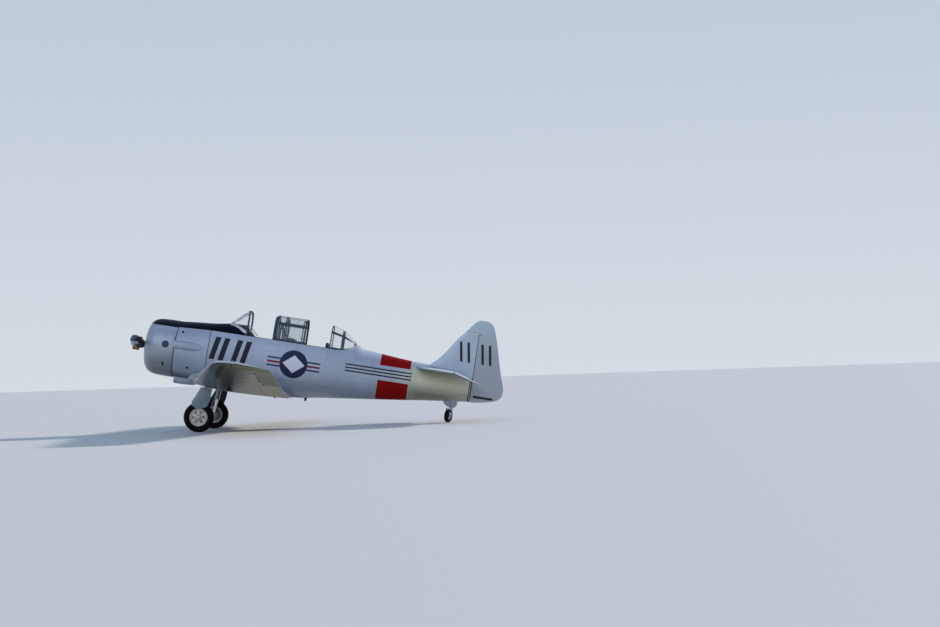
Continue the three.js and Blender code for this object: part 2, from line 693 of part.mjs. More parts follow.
function build() {
  const wing = wingCentre();
  const space = grown(wingCentreOutside());
  const wingGap = wasm.Manifold.union([0, -70, -140].map((z) => space.translate([0, 0, z])));

  // Nose
  node("cowl", cowl(), SILVER);
  node("engine", engine(), STEEL);
  const shaft = turning("propeller_spin", [PROP.x, 0, 0], [1, 0, 0], PROP.turned);
  node("propeller", propeller(), STEEL, shaft);
  const pipe = exhaustPipe(EXHAUST.radius);
  const nose = fuselagePart(1130, FIREWALL_X - GAP)
    .add(intakeBlister().intersect(box(1130, 1850, -900, 0, -400, 400)));
  const scoop = oilCoolerScoop();
  const pipeGap = grown(pipe);
  node("exhaust_pipe", pipe.subtract(box(1800, 2100, 300, 900, -700, 0)
    .intersect(exhaustPipe(EXHAUST.radius - EXHAUST.wall))), STEEL);
  node("nose_panels", nose.subtract(wingGap).subtract(pipeGap), SILVER);
  node("oil_cooler_scoop", scoop.subtract(grown(nose)).subtract(wingGap), SILVER);

  // Fuselage and cockpit
  const shell = fuselagePart(FIREWALL_X, FUSELAGE_SPLIT_X - GAP);
  const sill = new THREE.Shape([
    [SILL_START_X, SILL_Z], [4860, SILL_Z], [4990, 575], [5120, 624], [5215, 690],
    [5250, 770], [5250, 1300], [SILL_START_X, 1300],
  ].map(([x, z]) => new THREE.Vector2(x, z)));
  const above = solid(new THREE.ExtrudeGeometry(sill, { depth: 1600, bevelEnabled: false }),
    new THREE.Matrix4().makeRotationX(Math.PI / 2).setPosition(0, 800, 0));
  const tub = fuselagePart(2450, 5000, 42).intersect(
    box(2450, 5000, -390, 390, -300, LEDGE.bottom)
      .add(box(2450, 5000, -LEDGE.y, LEDGE.y, -300, 900)));
  const middle = shell.subtract(above).subtract(tub).subtract(wingGap);
  node("fuselage_centre", middle, SILVER);
  for (const [name, x] of [["seat_front", 3010], ["seat_rear", 4240]]) {
    node(name, seat(x), LEATHER);
  }
  const panelOf = (x) => fuselagePart(x, x + 16, 42.5)
    .intersect(box(x, x + 16, GAP - LEDGE.y, LEDGE.y - GAP, 60, SILL_Z + 30));
  node("panel_front", panelOf(2760).subtract(grown(middle)), BLACK);
  node("panel_rear", panelOf(3960).subtract(grown(middle)), BLACK);

  // Wing panels with their ailerons and flaps
  let centre = wing;
  const centreFlap = flapPlate(CENTRE_STATIONS, -1330, 1330, 0);
  centre = centre.subtract(flapPlate(CENTRE_STATIONS, -1330, 1330, 6));
  node("wing_centre", centre, SILVER);
  const flapLine = lowerSkin(CENTRE_STATIONS, 1330, FLAP.front);
  const flapTurn = turning("flap_centre_hinge", [FLAP.front, 0, flapLine], [0, 1, 0]);
  node("flap_centre", centreFlap, SILVER, flapTurn);

  for (const [hand, side] of [["left", -1], ["right", 1]]) {
    let panel = wingPart(OUTER_STATIONS, JOINT_Y + GAP, HALF_SPAN, side);
    const [flapIn, flapOut] = [1470, 3480];
    const edge = (y) => lowerSkin(OUTER_STATIONS, y, FLAP.front);
    const plate = (extra) => flapPlate(OUTER_STATIONS, flapIn, flapOut, extra);
    const placed = (shape) => (side > 0 ? shape : shape.mirror([0, 1, 0]));
    panel = panel.subtract(placed(plate(6)));
    const flapStart = [FLAP.front, flapIn * side, edge(flapIn)];
    const flapEnd = [FLAP.front, flapOut * side, edge(flapOut)];
    const flapWay = side > 0
      ? flapEnd.map((v, k) => v - flapStart[k]) : flapStart.map((v, k) => v - flapEnd[k]);
    const flapHinge = turning(`flap_${hand}_hinge`, flapStart, flapWay);
    node(`flap_${hand}`, placed(plate(0)), SILVER, flapHinge);

    const aileronX = 3610;
    const [inner, outer] = [3560, 5690];
    const middleOf = (y) => {
      const [, front, back, frontZ, backZ, ratio] = along(OUTER_STATIONS, y);
      const s = (aileronX - front) / (back - front);
      const [up, down] = foilHeights(s, ratio, CAMBER);
      return [mix(frontZ, backZ, s) + ((up + down) / 2) * (back - front),
        ((up - down) / 2) * (back - front)];
    };
    const [[z0, half0], [z1, half1]] = [middleOf(inner), middleOf(outer)];
    const line = hingeFrame([aileronX, inner * side, z0], [aileronX, outer * side, z1]);
    const noses = [half0 * 1.02, half1 * 1.02];
    const [fixed, moving] = splitOnHinge(panel, line, noses, 9, 700);
    const [held, swung] = hangOnLugs(fixed, moving, line, noses[0], [0.22, 0.8]);
    node(`wing_${hand}`, held, SILVER);
    const way = line.axis.toArray().map((v) => v * side);
    const turn = turning(`aileron_${hand}_hinge`, [aileronX, inner * side, z0], way);
    node(`aileron_${hand}`, swung, SILVER, turn);
  }

  // Tail
  const tailCone = fuselagePart(FUSELAGE_SPLIT_X, TAIL_END_X);
  const tubeRadius = 20;
  const tubeHole = bar([STAB.hinge, -400, STAB.z], [STAB.hinge, 400, STAB.z], 34, 34, 10);
  const tailGap = grown(tailCone);
  const elevators = [];
  for (const [hand, side] of [["left", -1], ["right", 1]]) {
    const whole = tailplane(side);
    const line = hingeFrame([STAB.hinge, 100 * side, STAB.z], [STAB.hinge, 2050 * side, STAB.z]);
    const noses = [42, 27];
    const [fixed, moving] = splitOnHinge(whole, line, noses, 0, 900);
    const inset = new THREE.Shape([[7560, 0], [7560, 175], [7960, 185], [8400, 372], [8400, 0]]
      .map(([x, y]) => new THREE.Vector2(x, y * side)));
    const cut = solid(new THREE.ExtrudeGeometry(inset, { depth: 600, bevelEnabled: false }),
      at(0, 0, 100));
    const [held, swung] = hangOnLugs(
      fixed.subtract(tailGap), moving.subtract(cut), line, noses[0], [0.2, 0.72]);
    node(`stabilizer_${hand}`, held.subtract(tailGap), SILVER);
    elevators.push(swung);
  }
  const elevatorTurn = turning("elevator_hinge", [STAB.hinge, 0, STAB.z], [0, 1, 0], ELEVATOR_DROOP);
  const torque = bar([STAB.hinge, -200, STAB.z], [STAB.hinge, 200, STAB.z], tubeRadius, tubeRadius, 10);
  node("elevator", wasm.Manifold.union([...elevators, torque]), SILVER, elevatorTurn);

  const vertical = finAndRudder();
  const rudderLine = hingeFrame([RUDDER_HINGE_X, 0, -187], [RUDDER_HINGE_X, 0, HORN_Z - 4]);
  const rudderNoses = [40, 20];
  const belowHorn = box(6900, 9000, -300, 300, -300, HORN_Z - 12);
  const [post, swinging] = splitOnHinge(
    vertical.intersect(belowHorn), rudderLine, rudderNoses, 0, 1000);
  const horn = vertical.intersect(box(7000, 9000, -300, 300, HORN_Z, 2000));
  const neck = vertical.intersect(box(RUDDER_HINGE_X - 6, 9000, -300, 300, HORN_Z - 16, HORN_Z + 4));
  const rudder = swinging.add(horn).add(neck);
  const finPiece = post.intersect(box(6900, 8060, -300, 300, 380, 2000));
  const [heldFin, hungOnce] = hangOnLugs(finPiece, rudder, rudderLine, 40, [0.62, 0.93]);
  const [heldTail, hungTwice] = hangOnLugs(tailCone, hungOnce, rudderLine, 52, [0.12]);
  const tailWithHole = heldTail.subtract(tubeHole);
  node("fuselage_aft", tailWithHole, SILVER);
  node("fin", heldFin.subtract(tailGap).subtract(tubeHole), SILVER);
  const rudderTurn = turning("rudder_hinge", [RUDDER_HINGE_X, 0, 0], [0, 0, 1]);
  node("rudder", hungTwice, SILVER, rudderTurn);

  // Canopy
  const deck = grown(shell.subtract(above));
  const screenCore = screenSolid(CANOPY.glass);
  const screenGlassCore = screenSolid(0);
  const room = box(2200, SCREEN.arch + 100, -600, 600, 400, 1400);
  const skin = screenSolid(CANOPY.glass + CANOPY.frame).intersect(room);
  const cutTail = (shape) => shape.add(shape.translate([40, 0, 0])).add(shape.translate([80, 0, 0]));
  const sidePane = new THREE.Shape([[2700, 615], [2700, 960], [2665, 1020], [2400, 790], [2440, 760]]
    .map(([x, z]) => new THREE.Vector2(x, z)));
  const sideHole = solid(new THREE.ExtrudeGeometry(sidePane, { depth: 1800, bevelEnabled: false }),
    new THREE.Matrix4().makeRotationX(Math.PI / 2).setPosition(0, 900, 0));
  const slope = Math.atan2(1136 - 800, SCREEN.top - SCREEN.base);
  const frontHole = box(60, 440, -128, 128, -60, 200).rotate([0, -THREE.MathUtils.radToDeg(slope), 0])
    .translate([SCREEN.base, 0, 800]);
  const screenFrame = skin.subtract(cutTail(screenCore)).subtract(sideHole).subtract(frontHole);
  const screenGlass = screenSolid(CANOPY.glass - GAP).subtract(cutTail(screenGlassCore));
  node("windscreen_frame", screenFrame.subtract(deck), FRAME);
  node("windscreen_glass", screenGlass.subtract(deck), GLASS);

  const slide = (name) => turning(name, [0, 0, 0], [1, 0, 0]);
  const sections = [
    ["centre", 3340, 4052, 0, [], aircraft],
    ["front", 3365, 4072, CANOPY.step, [3560], slide("canopy_front_slide")],
    ["rear", 3312, 4006, -CANOPY.step, [3590], slide("canopy_rear_slide")],
  ];
  for (const [name, x0, x1, base, arches, parent] of sections) {
    const [frame, glass] = canopySection(x0, x1, base, arches);
    node(`canopy_${name}_frame`, frame.subtract(deck), FRAME, parent);
    node(`canopy_${name}_glass`, glass.subtract(deck), GLASS, parent);
  }
  const [aftFrame, aftGlass] = aftCanopy();
  node("canopy_aft_frame", aftFrame.subtract(deck), FRAME);
  node("canopy_aft_glass", aftGlass.subtract(deck), GLASS);

  // Main gear
  for (const [hand, side] of [["left", -1], ["right", 1]]) {
    const strut = mainStrut(side);
    const fairing = legFairing(side);
    node(`gear_fairing_${hand}`, fairing.subtract(grown(strut)), SILVER);
    node(`gear_leg_${hand}`, strut.subtract(grown(centre)), STEEL);
    const spin = turning(`wheel_${hand}_spin`, [AXLE.x, AXLE.y * side, AXLE.z], [0, 1, 0],
      -GROUND_ANGLE);
    const wheel = (shape) => toAxle(shape, AXLE.x, AXLE.y * side, AXLE.z);
    node(`tyre_${hand}`, wheel(tyre(TYRE)), RUBBER, spin);
    node(`rim_${hand}`, wheel(rim(TYRE, 30.9, side)), STEEL, spin);
  }
  tailGear(tailCone);
}

// Tail gear: a fixed housing, a fork that swivels under it, and the wheel in the fork.
const TAIL_PIVOT = { x: 7690, z: -372 };
const TAIL_FORK = { trail: 92, drop: 203.5, half: 68 };
function tailGear(tailCone) {
  const pivot = [TAIL_PIVOT.x, 0, TAIL_PIVOT.z];
  const housing = loft([
    [-160, 7450, 7830, 48], [-300, 7500, 7815, 46], [TAIL_PIVOT.z, 7620, 7765, 36],
  ].map(([z, front, back, half]) =>
    foil((2 * half) / (back - front), 0).map(([s, h]) => [mix(front, back, s), h * (back - front), z])));
  node("tail_gear_housing", housing.subtract(grown(tailCone)), SILVER);
  const swivel = turning("tail_swivel", pivot, [0, 0, 1], CASTOR);
  const wheelX = TAIL_PIVOT.x + TAIL_FORK.trail;
  const wheelZ = TAIL_PIVOT.z - TAIL_FORK.drop;
  const crownZ = wheelZ + TAIL_TYRE.radius + 8;
  const fork = [
    bar([TAIL_PIVOT.x, 0, TAIL_PIVOT.z - GAP], [TAIL_PIVOT.x, 0, crownZ], 30, 30, 12),
    box(TAIL_PIVOT.x - 30, wheelX + 10, -TAIL_FORK.half - 12, TAIL_FORK.half + 12, crownZ - 2, crownZ + 12),
  ];
  for (const side of [-1, 1]) {
    const y = (TAIL_FORK.half + 6) * side;
    fork.push(bar([wheelX - 30, y, crownZ + 4], [wheelX, y, wheelZ], 12, 10, 10));
  }
  fork.push(bar([wheelX, -TAIL_FORK.half - 14, wheelZ], [wheelX, TAIL_FORK.half + 14, wheelZ], 12, 12, 12));
  node("tail_fork", wasm.Manifold.union(fork), STEEL, swivel);
  const spin = turning("tail_wheel_spin", [wheelX, 0, wheelZ], [0, 1, 0], 0, swivel);
  spin.userData.restInverse = new THREE.Matrix4().makeTranslation(-wheelX, 0, -wheelZ);
  const wheel = (shape) => toAxle(shape, wheelX, 0, wheelZ);
  node("tail_tyre", wheel(tyre(TAIL_TYRE)), RUBBER, spin);
  node("tail_rim", wheel(rim(TAIL_TYRE, 12.7, 1)), STEEL, spin);
}

build();

const stand = new THREE.Group();
stand.add(aircraft);
aircraft.rotation.y = GROUND_ANGLE;
const bounds = new THREE.Box3().setFromObject(stand, true);
const centreOf = bounds.getCenter(new THREE.Vector3());
aircraft.position.set(-centreOf.x, -centreOf.y, -bounds.min.z);

export default stand;
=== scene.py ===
"""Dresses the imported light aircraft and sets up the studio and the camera."""
import json
from math import asin, atan2, copysign, cos, degrees, pi, radians, sin, sqrt

import bmesh
import bpy
from mathutils import Matrix, Vector


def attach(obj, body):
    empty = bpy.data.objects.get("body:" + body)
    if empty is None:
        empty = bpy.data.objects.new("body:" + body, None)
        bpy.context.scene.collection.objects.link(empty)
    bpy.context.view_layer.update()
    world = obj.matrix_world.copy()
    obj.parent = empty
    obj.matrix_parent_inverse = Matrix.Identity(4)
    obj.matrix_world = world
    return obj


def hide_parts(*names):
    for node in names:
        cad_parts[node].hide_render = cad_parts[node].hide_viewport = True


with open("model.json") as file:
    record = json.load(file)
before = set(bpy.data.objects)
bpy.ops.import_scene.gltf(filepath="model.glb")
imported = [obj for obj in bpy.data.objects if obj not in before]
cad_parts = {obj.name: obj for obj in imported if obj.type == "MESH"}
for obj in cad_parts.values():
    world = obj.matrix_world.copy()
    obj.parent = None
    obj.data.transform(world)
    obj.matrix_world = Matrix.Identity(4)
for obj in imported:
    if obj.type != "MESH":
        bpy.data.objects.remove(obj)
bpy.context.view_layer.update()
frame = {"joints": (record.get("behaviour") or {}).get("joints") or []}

# Frames
# Everything is written in the thrust line's own frame: millimetres, x aft, y to starboard, z up.
LEAN_DEGREES = 10.65
PLACES = {j["name"]: Vector(j["pos_m"]) for j in frame["joints"] if "pos_m" in j}
LEAN = Matrix.Rotation(radians(LEAN_DEGREES), 4, "Y")
HUB_X = 235
ORIGIN = PLACES["propeller_spin"] - LEAN.to_3x3() @ Vector((HUB_X / 1000, 0, 0))
DATUM = Matrix.Translation(ORIGIN) @ LEAN


def about(point, axis, degrees):
    """A turn about a line through a point in millimetres."""
    place = Vector(point) / 1000
    turn = Matrix.Rotation(radians(degrees), 4, axis)
    return Matrix.Translation(place) @ turn @ Matrix.Translation(-place)


MIDDLE, AFT, AHEAD, ACROSS, UP = (0, 0, 0), (1, 0, 0), (-1, 0, 0), (0, 1, 0), (0, 0, 1)
SIDES = (("left", -1), ("right", 1))
AXLE = {"x": 2040, "y": 1310, "z": -1444}
TAIL_PIVOT_X, CASTOR = 7690, 248
STAB_Z = 430
HINGE = {"elevator": 7650, "rudder": 8100, "aileron": 3610}
REST = {
    "propeller": about((HUB_X, 0, 0), "X", -4.5),
    "elevator": about((HINGE["elevator"], 0, STAB_Z), "Y", 16),
    **dict.fromkeys(("tail_fork", "tail_wheel"), about((TAIL_PIVOT_X, 0, 0), "Z", CASTOR)),
    **dict.fromkeys(("wheel_left", "wheel_right"), about((AXLE["x"], 0, AXLE["z"]), "Y", -LEAN_DEGREES)),
}


def mix(a, b, t):
    return a + (b - a) * t


def smooth(table):
    """Reads rows at any place along their first column, on a cubic that never overshoots."""
    xs = [row[0] for row in table]
    columns = list(zip(*table))
    slopes = []
    for values in columns:
        steps = [(values[i + 1] - values[i]) / (xs[i + 1] - xs[i]) for i in range(len(xs) - 1)]
        inner = [0 if a * b <= 0 else 2 * a * b / (a + b) for a, b in zip(steps, steps[1:])]
        slopes.append([steps[0], *inner, steps[-1]])

    def read(x):
        if x <= xs[0]:
            return list(table[0])
        if x >= xs[-1]:
            return list(table[-1])
        i = next(k for k in range(len(xs) - 1) if xs[k + 1] >= x)
        h = xs[i + 1] - xs[i]
        t = (x - xs[i]) / h
        weights = (2 * t ** 3 - 3 * t ** 2 + 1, (t ** 3 - 2 * t ** 2 + t) * h,
                   3 * t ** 2 - 2 * t ** 3, (t ** 3 - t ** 2) * h)
        return [weights[0] * c[i] + weights[1] * m[i] + weights[2] * c[i + 1] + weights[3] * m[i + 1]
                for c, m in zip(columns, slopes)]

    return read


def spread(a, b, count):
    return [mix(a, b, i / count) for i in range(count + 1)]


def run_point(points, u):
    """A smooth point and the direction there, u counted along a run of given points."""
    u = min(max(u, 0), len(points) - 1 - 1e-6)
    i = int(u)
    t = u - i
    padded = [points[0] * 2 - points[1], *points, points[-1] * 2 - points[-2]]
    a, b, c, d = padded[i:i + 4]
    bend, twist = 2 * a - 5 * b + 4 * c - d, 3 * b - a - 3 * c + d
    point = 0.5 * (2 * b + (c - a) * t + bend * t ** 2 + twist * t ** 3)
    return point, 0.5 * ((c - a) + 2 * bend * t + 3 * twist * t ** 2)


def curve(points, count):
    """A smooth run of points through a few given ones."""
    points = [Vector(p) for p in points]
    return [run_point(points, k / count)[0] for k in range(count * (len(points) - 1))] + [points[-1]]


def as_ring(points, y):
    return [(x, y, z) for x, z in points]


def circle(count, first=0.0, radius=1.0):
    """The two coordinates of evenly spaced points of a circle, from an angle in degrees on."""
    angles = [radians(first) + 2 * pi * k / count for k in range(count)]
    return [(radius * cos(a), radius * sin(a)) for a in angles]


def bowed(value, power):
    """A sine or cosine raised to a power, with its sign kept."""
    return copysign(abs(value) ** power, value)


# Mesh building
class Shape:
    """Collects the faces of one piece. paint is the material slot of the faces added next."""

    def __init__(self):
        self.points, self.faces, self.paints = [], [], []
        self.paint = 0

    def add(self, points, faces):
        first = len(self.points)
        self.points += [tuple(p) for p in points]
        self.join([tuple(first + i for i in face) for face in faces])

    def join(self, faces):
        """Adds faces between points that are there already."""
        self.faces += faces
        self.paints += [self.paint] * len(faces)

    def loft(self, rings, closed=True, caps=True):
        count = len(rings[0])
        faces = []
        for r in range(len(rings) - 1):
            for i in range(count if closed else count - 1):
                a, b = r * count + i, r * count + (i + 1) % count
                faces.append((a, b, b + count, a + count))
        if caps:
            last = (len(rings) - 1) * count
            faces += [tuple(range(count)), tuple(range(last, last + count))]
        self.add([p for ring in rings for p in ring], faces)

    def prism(self, near, far):
        """A flat outline given thickness: its two faces, then the edge between them."""
        count = len(near)
        faces = [tuple(range(count)), tuple(range(count, 2 * count))]
        faces += [(i, (i + 1) % count, (i + 1) % count + count, i + count) for i in range(count)]
        self.add([*near, *far], faces)

    def lathe(self, profile, start, way, sides=32, closed=False, caps=True):
        """Spins [along, radius] points about the line from start along way."""
        way = Vector(way).normalized()
        across = way.orthogonal().normalized()
        other = way.cross(across)
        rows = [*profile, profile[0]] if closed else profile
        rings = [[Vector(start) + way * d + (across * c + other * s) * max(r, 0.05)
                  for c, s in circle(sides)] for d, r in rows]
        self.loft(rings, caps=caps and not closed)

    def tube(self, path, radius, sides=10, caps=True):
        """A round tube along a path. radius is one number, or one for each point."""
        path = [Vector(p) for p in path]
        radii = radius if isinstance(radius, (list, tuple)) else [radius] * len(path)
        ways = [(path[min(i + 1, len(path) - 1)] - path[max(i - 1, 0)]).normalized()
                for i in range(len(path))]
        across = ways[0].orthogonal().normalized()
        rings = []
        for point, way, r in zip(path, ways, radii):
            across = (across - way * across.dot(way)).normalized()
            other = way.cross(across)
            rings.append([point + (across * c + other * s) * r for c, s in circle(sides)])
        self.loft(rings, caps=caps)

    def block(self, lo, hi):
        points = [(x, y, z) for x in (lo[0], hi[0]) for y in (lo[1], hi[1]) for z in (lo[2], hi[2])]
        self.add(points, [(0, 1, 3, 2), (4, 6, 7, 5), (0, 4, 5, 1), (2, 3, 7, 6), (0, 2, 6, 4),
                          (1, 5, 7, 3)])

    def slab(self, place, s_range, t_range, inner, outer, ns, nt):
        """A curved plate between two offsets of the surface place(s, t, offset)."""
        rows = nt + 1
        points = [place(s, t, off) for off in (inner, outer) for s in spread(*s_range, ns)
                  for t in spread(*t_range, nt)]
        layer = (ns + 1) * rows
        faces = []
        for i in range(ns):
            for j in range(nt):
                a = i * rows + j
                quad = (a, a + 1, a + 1 + rows, a + rows)
                faces += [quad, tuple(layer + k for k in quad)]
        edges = [[i * rows for i in range(ns + 1)], [i * rows + nt for i in range(ns + 1)],
                 list(range(rows)), [ns * rows + j for j in range(rows)]]
        for edge in edges:
            faces += [(a, b, b + layer, a + layer) for a, b in zip(edge, edge[1:])]
        self.add(points, faces)

    def strip(self, rows):
        """An open surface through rows of points."""
        self.loft(rows, closed=False, caps=False)

    def mirrored(self):
        """Adds the other hand of everything so far."""
        first = len(self.points)
        self.points += [(x, -y, z) for x, y, z in self.points]
        self.faces += [tuple(first + i for i in reversed(face)) for face in self.faces]
        self.paints += self.paints

    def moved(self, matrix, since):
        """Moves the points from number since on by a matrix."""
        self.points[since:] = [tuple(matrix @ Vector(p)) for p in self.points[since:]]

    def studs(self, profile, places, way, sides):
        """The same small lathed shape at each of a few places."""
        for place in places:
            self.lathe(profile, place, way, sides)


def mesh_of(name, shape, paints, hollow=False):
    """The mesh of a shape in metres, its faces turned outwards.

    hollow is for an open tube round the x axis.
    """
    mesh = bpy.data.meshes.new(name)
    mesh.from_pydata([(x / 1000, y / 1000, z / 1000) for x, y, z in shape.points], [], shape.faces)
    for paint in paints:
        mesh.materials.append(paint)
    mesh.polygons.foreach_set("material_index", shape.paints)
    work = bmesh.new()
    work.from_mesh(mesh)
    bmesh.ops.remove_doubles(work, verts=work.verts, dist=2e-6)
    bmesh.ops.recalc_face_normals(work, faces=work.faces)
    for face in work.faces if hollow else ():
        middle = face.calc_center_median()
        if face.normal.dot(Vector((0, middle.y, middle.z))) < 0:
            face.normal_flip()
    work.to_mesh(mesh)
    work.free()
    return mesh


def placed(name, data):
    thing = bpy.data.objects.new(name, data)
    bpy.context.scene.collection.objects.link(thing)
    return thing


def piece(name, shape, paints, body="airframe", replaces=(), angle=35, bevel=0,
          hollow=False):
    """Makes the Blender object of a shape, lets it ride, and hides the nodes that it stands for."""
    mesh = mesh_of(name, shape, paints if isinstance(paints, list) else [paints], hollow)
    mesh.shade_smooth()
    mesh.set_sharp_from_angle(angle=radians(angle))
    mesh.transform(LEAN)
    thing = placed(name, mesh)
    thing.matrix_world = DATUM @ REST.get(body, Matrix()) @ LEAN.inverted()
    if bevel:
        rounding = thing.modifiers.new("edges", "BEVEL")
        rounding.width = bevel / 1000
        rounding.segments = 2
        rounding.limit_method = "ANGLE"
        rounding.angle_limit = radians(40)
        rounding.harden_normals = True
    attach(thing, body)
    if replaces:
        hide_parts(*replaces)
    return thing


def applied(thing):
    """Makes what a piece's modifiers give its mesh for good."""
    bpy.context.view_layer.update()
    shaped = bpy.data.meshes.new_from_object(thing.evaluated_get(bpy.context.evaluated_depsgraph_get()))
    thing.modifiers.clear()
    thing.data = shaped
    return shaped


# Paint
class Field:
    """A number that varies over a surface, made of Math nodes."""

    def __init__(self, kit, socket):
        self.kit, self.socket = kit, socket

    def math(self, operation, *others):
        node = self.kit.tree.nodes.new("ShaderNodeMath")
        node.operation = operation
        for slot, value in zip(node.inputs, (self, *others)):
            if isinstance(value, Field):
                self.kit.tree.links.new(value.socket, slot)
            else:
                slot.default_value = value
        return Field(self.kit, node.outputs[0])

    def __add__(self, other):
        return self.math("ADD", other)

    def __sub__(self, other):
        return self.math("SUBTRACT", other)

    def __mul__(self, other):
        return self.math("MULTIPLY", other)

    def __neg__(self):
        return self.math("MULTIPLY", -1.0)

    def abs(self):
        return self.math("ABSOLUTE")

    def least(self, other):
        return self.math("MINIMUM", other)

    def most(self, other):
        return self.math("MAXIMUM", other)

    def over(self, edge, soft=0.001):
        """1 where the field is over edge, 0 under it, with a soft step between."""
        node = self.kit.tree.nodes.new("ShaderNodeMapRange")
        node.inputs["From Min"].default_value = -soft
        node.inputs["From Max"].default_value = soft
        self.kit.tree.links.new((self - edge).socket, node.inputs["Value"])
        return Field(self.kit, node.outputs["Result"])

    def under(self, edge, soft=0.001):
        return (-self).over(-edge, soft)

    def within(self, low, high):
        return self.over(low) * self.under(high)

    def every(self, pitch):
        """The distance to the nearest of evenly spaced places."""
        return (self + pitch * 200).math("PINGPONG", pitch / 2)


def distance(u, v):
    """How far two fields are from zero together."""
    return (u * u + v * v).math("SQRT")


class Paint:
    """A node material with one Principled shader."""

    def __init__(self, name, color, rough=0.5, metal=0.0, **sockets):
        self.material = bpy.data.materials.new(name)
        self.material.use_nodes = True
        self.tree = self.material.node_tree
        self.shader = self.tree.nodes["Principled BSDF"]
        self.color = (*color, 1.0)
        self.shader.inputs["Base Color"].default_value = self.color
        self.shader.inputs["Roughness"].default_value = rough
        self.shader.inputs["Metallic"].default_value = metal
        for key, value in sockets.items():
            self.shader.inputs[key.replace("_", " ")].default_value = value
        coordinates = self.tree.nodes.new("ShaderNodeTexCoord")
        turned = self.tree.nodes.new("ShaderNodeMapping")
        turned.inputs["Rotation"].default_value = (0, -radians(LEAN_DEGREES), 0)
        self.tree.links.new(coordinates.outputs["Object"], turned.inputs["Vector"])
        self.place = turned.outputs["Vector"]
        split = self.tree.nodes.new("ShaderNodeSeparateXYZ")
        self.tree.links.new(self.place, split.inputs[0])
        self.x, self.y, self.z = [Field(self, split.outputs[k]) for k in range(3)]
        self.last = None
        self.height = None

    def noise(self, scale, detail=3.0, rough=0.6, stretch=None):
        node = self.tree.nodes.new("ShaderNodeTexNoise")
        node.inputs["Scale"].default_value = scale
        node.inputs["Detail"].default_value = detail
        node.inputs["Roughness"].default_value = rough
        place = self.place
        if stretch:
            scaled = self.tree.nodes.new("ShaderNodeVectorMath")
            scaled.operation = "MULTIPLY"
            scaled.inputs[1].default_value = stretch
            self.tree.links.new(place, scaled.inputs[0])
            place = scaled.outputs[0]
        self.tree.links.new(place, node.inputs["Vector"])
        return Field(self, node.outputs[0])

    def cells(self, scale):
        node = self.tree.nodes.new("ShaderNodeTexVoronoi")
        node.inputs["Scale"].default_value = scale
        self.tree.links.new(self.place, node.inputs["Vector"])
        return Field(self, node.outputs["Distance"])

    def cover(self, mask, color):
        """Lays a colour over what is there, where mask is 1."""
        node = self.tree.nodes.new("ShaderNodeMix")
        node.data_type = "RGBA"
        first, second = node.inputs[6], node.inputs[7]
        if self.last:
            self.tree.links.new(self.last, first)
        else:
            first.default_value = self.color
        second.default_value = (*color, 1.0)
        self.tree.links.new(mask.socket, node.inputs[0])
        self.last = node.outputs[2]
        self.tree.links.new(self.last, self.shader.inputs["Base Color"])

    def set(self, name, field):
        self.tree.links.new(field.socket, self.shader.inputs[name])

    def range(self, name, field, low, high):
        """Sets a shader input from a 0 to 1 field, spread between two values."""
        self.set(name, field * (high - low) + low)

    def bump(self, field, depth, strength=1.0):
        node = self.tree.nodes.new("ShaderNodeBump")
        node.inputs["Strength"].default_value = strength
        node.inputs["Distance"].default_value = depth
        self.tree.links.new(field.socket, node.inputs["Height"])
        if self.height:
            self.tree.links.new(self.height, node.inputs["Normal"])
        self.height = node.outputs[0]
        self.tree.links.new(self.height, self.shader.inputs["Normal"])


# Silver paint whose blue cast is a painted reflection of the sky.
SKY_TINTED_SILVER = (0.42, 0.46, 0.55)
NAVY = (0.003, 0.004, 0.011)
SIGNAL_RED = (0.25, 0.004, 0.003)
MAROON = (0.22, 0.012, 0.03)
DEEP_BLUE = (0.008, 0.013, 0.052)
PALE = (0.66, 0.64, 0.72)
INK = (0.012, 0.013, 0.02)


def weather(paint, amount=1.0):
    """Soft stains, faint streaks and fine grain that every painted skin has."""
    paint.cover(paint.noise(1.7, 4.0).over(0.52, 0.16) * (0.22 * amount), (0.27, 0.29, 0.34))
    streaks = paint.noise(5.0, 3.0, 0.6, (1.0, 1.0, 0.12))
    paint.cover(streaks.over(0.6, 0.1) * (0.10 * amount), (0.22, 0.22, 0.22))
    paint.bump(paint.noise(220.0, 2.0), 0.00012, 0.4)


SEAM_HALF, RIVET_ROW, RIVET_RADIUS = 0.0016, 0.016, 0.0034


def seams(paint, lines, along, depth=0.0008, rivets=0.038):
    """Panel lines where the distance field is small, and a row of rivets on each side of them."""
    line = lines.under(SEAM_HALF, SEAM_HALF / 2)
    paint.cover(line * 0.6, (0.06, 0.065, 0.08))
    paint.bump(-line, depth, 0.6)
    heads = distance(lines - RIVET_ROW, along.every(rivets)).under(RIVET_RADIUS, 0.0012)
    paint.bump(heads, 0.0005, 0.5)
    paint.cover(heads * 0.15, (0.2, 0.21, 0.24))


SHEEN = {"Metallic": 0.35, "Specular IOR Level": 0.3, "Coat Weight": 0.08}


def silver(name, rough=0.36, metal=SHEEN["Metallic"], tone=SKY_TINTED_SILVER):
    return Paint(name, tone, rough, metal, Coat_Weight=SHEEN["Coat Weight"], Coat_Roughness=0.2,
                 Specular_IOR_Level=SHEEN["Specular IOR Level"])


def dull(paint, mask, losses=(0.35, 0.24, 0.08)):
    """Takes the silver sheen off where mask is 1, by the losses in the order of SHEEN."""
    for (name, full), loss in zip(SHEEN.items(), losses):
        paint.set(name, mask * -loss + full)


def mottled(paint, low, high):
    """Roughness that varies softly between two values."""
    paint.range("Roughness", paint.noise(3.0, 3.0), low, high)


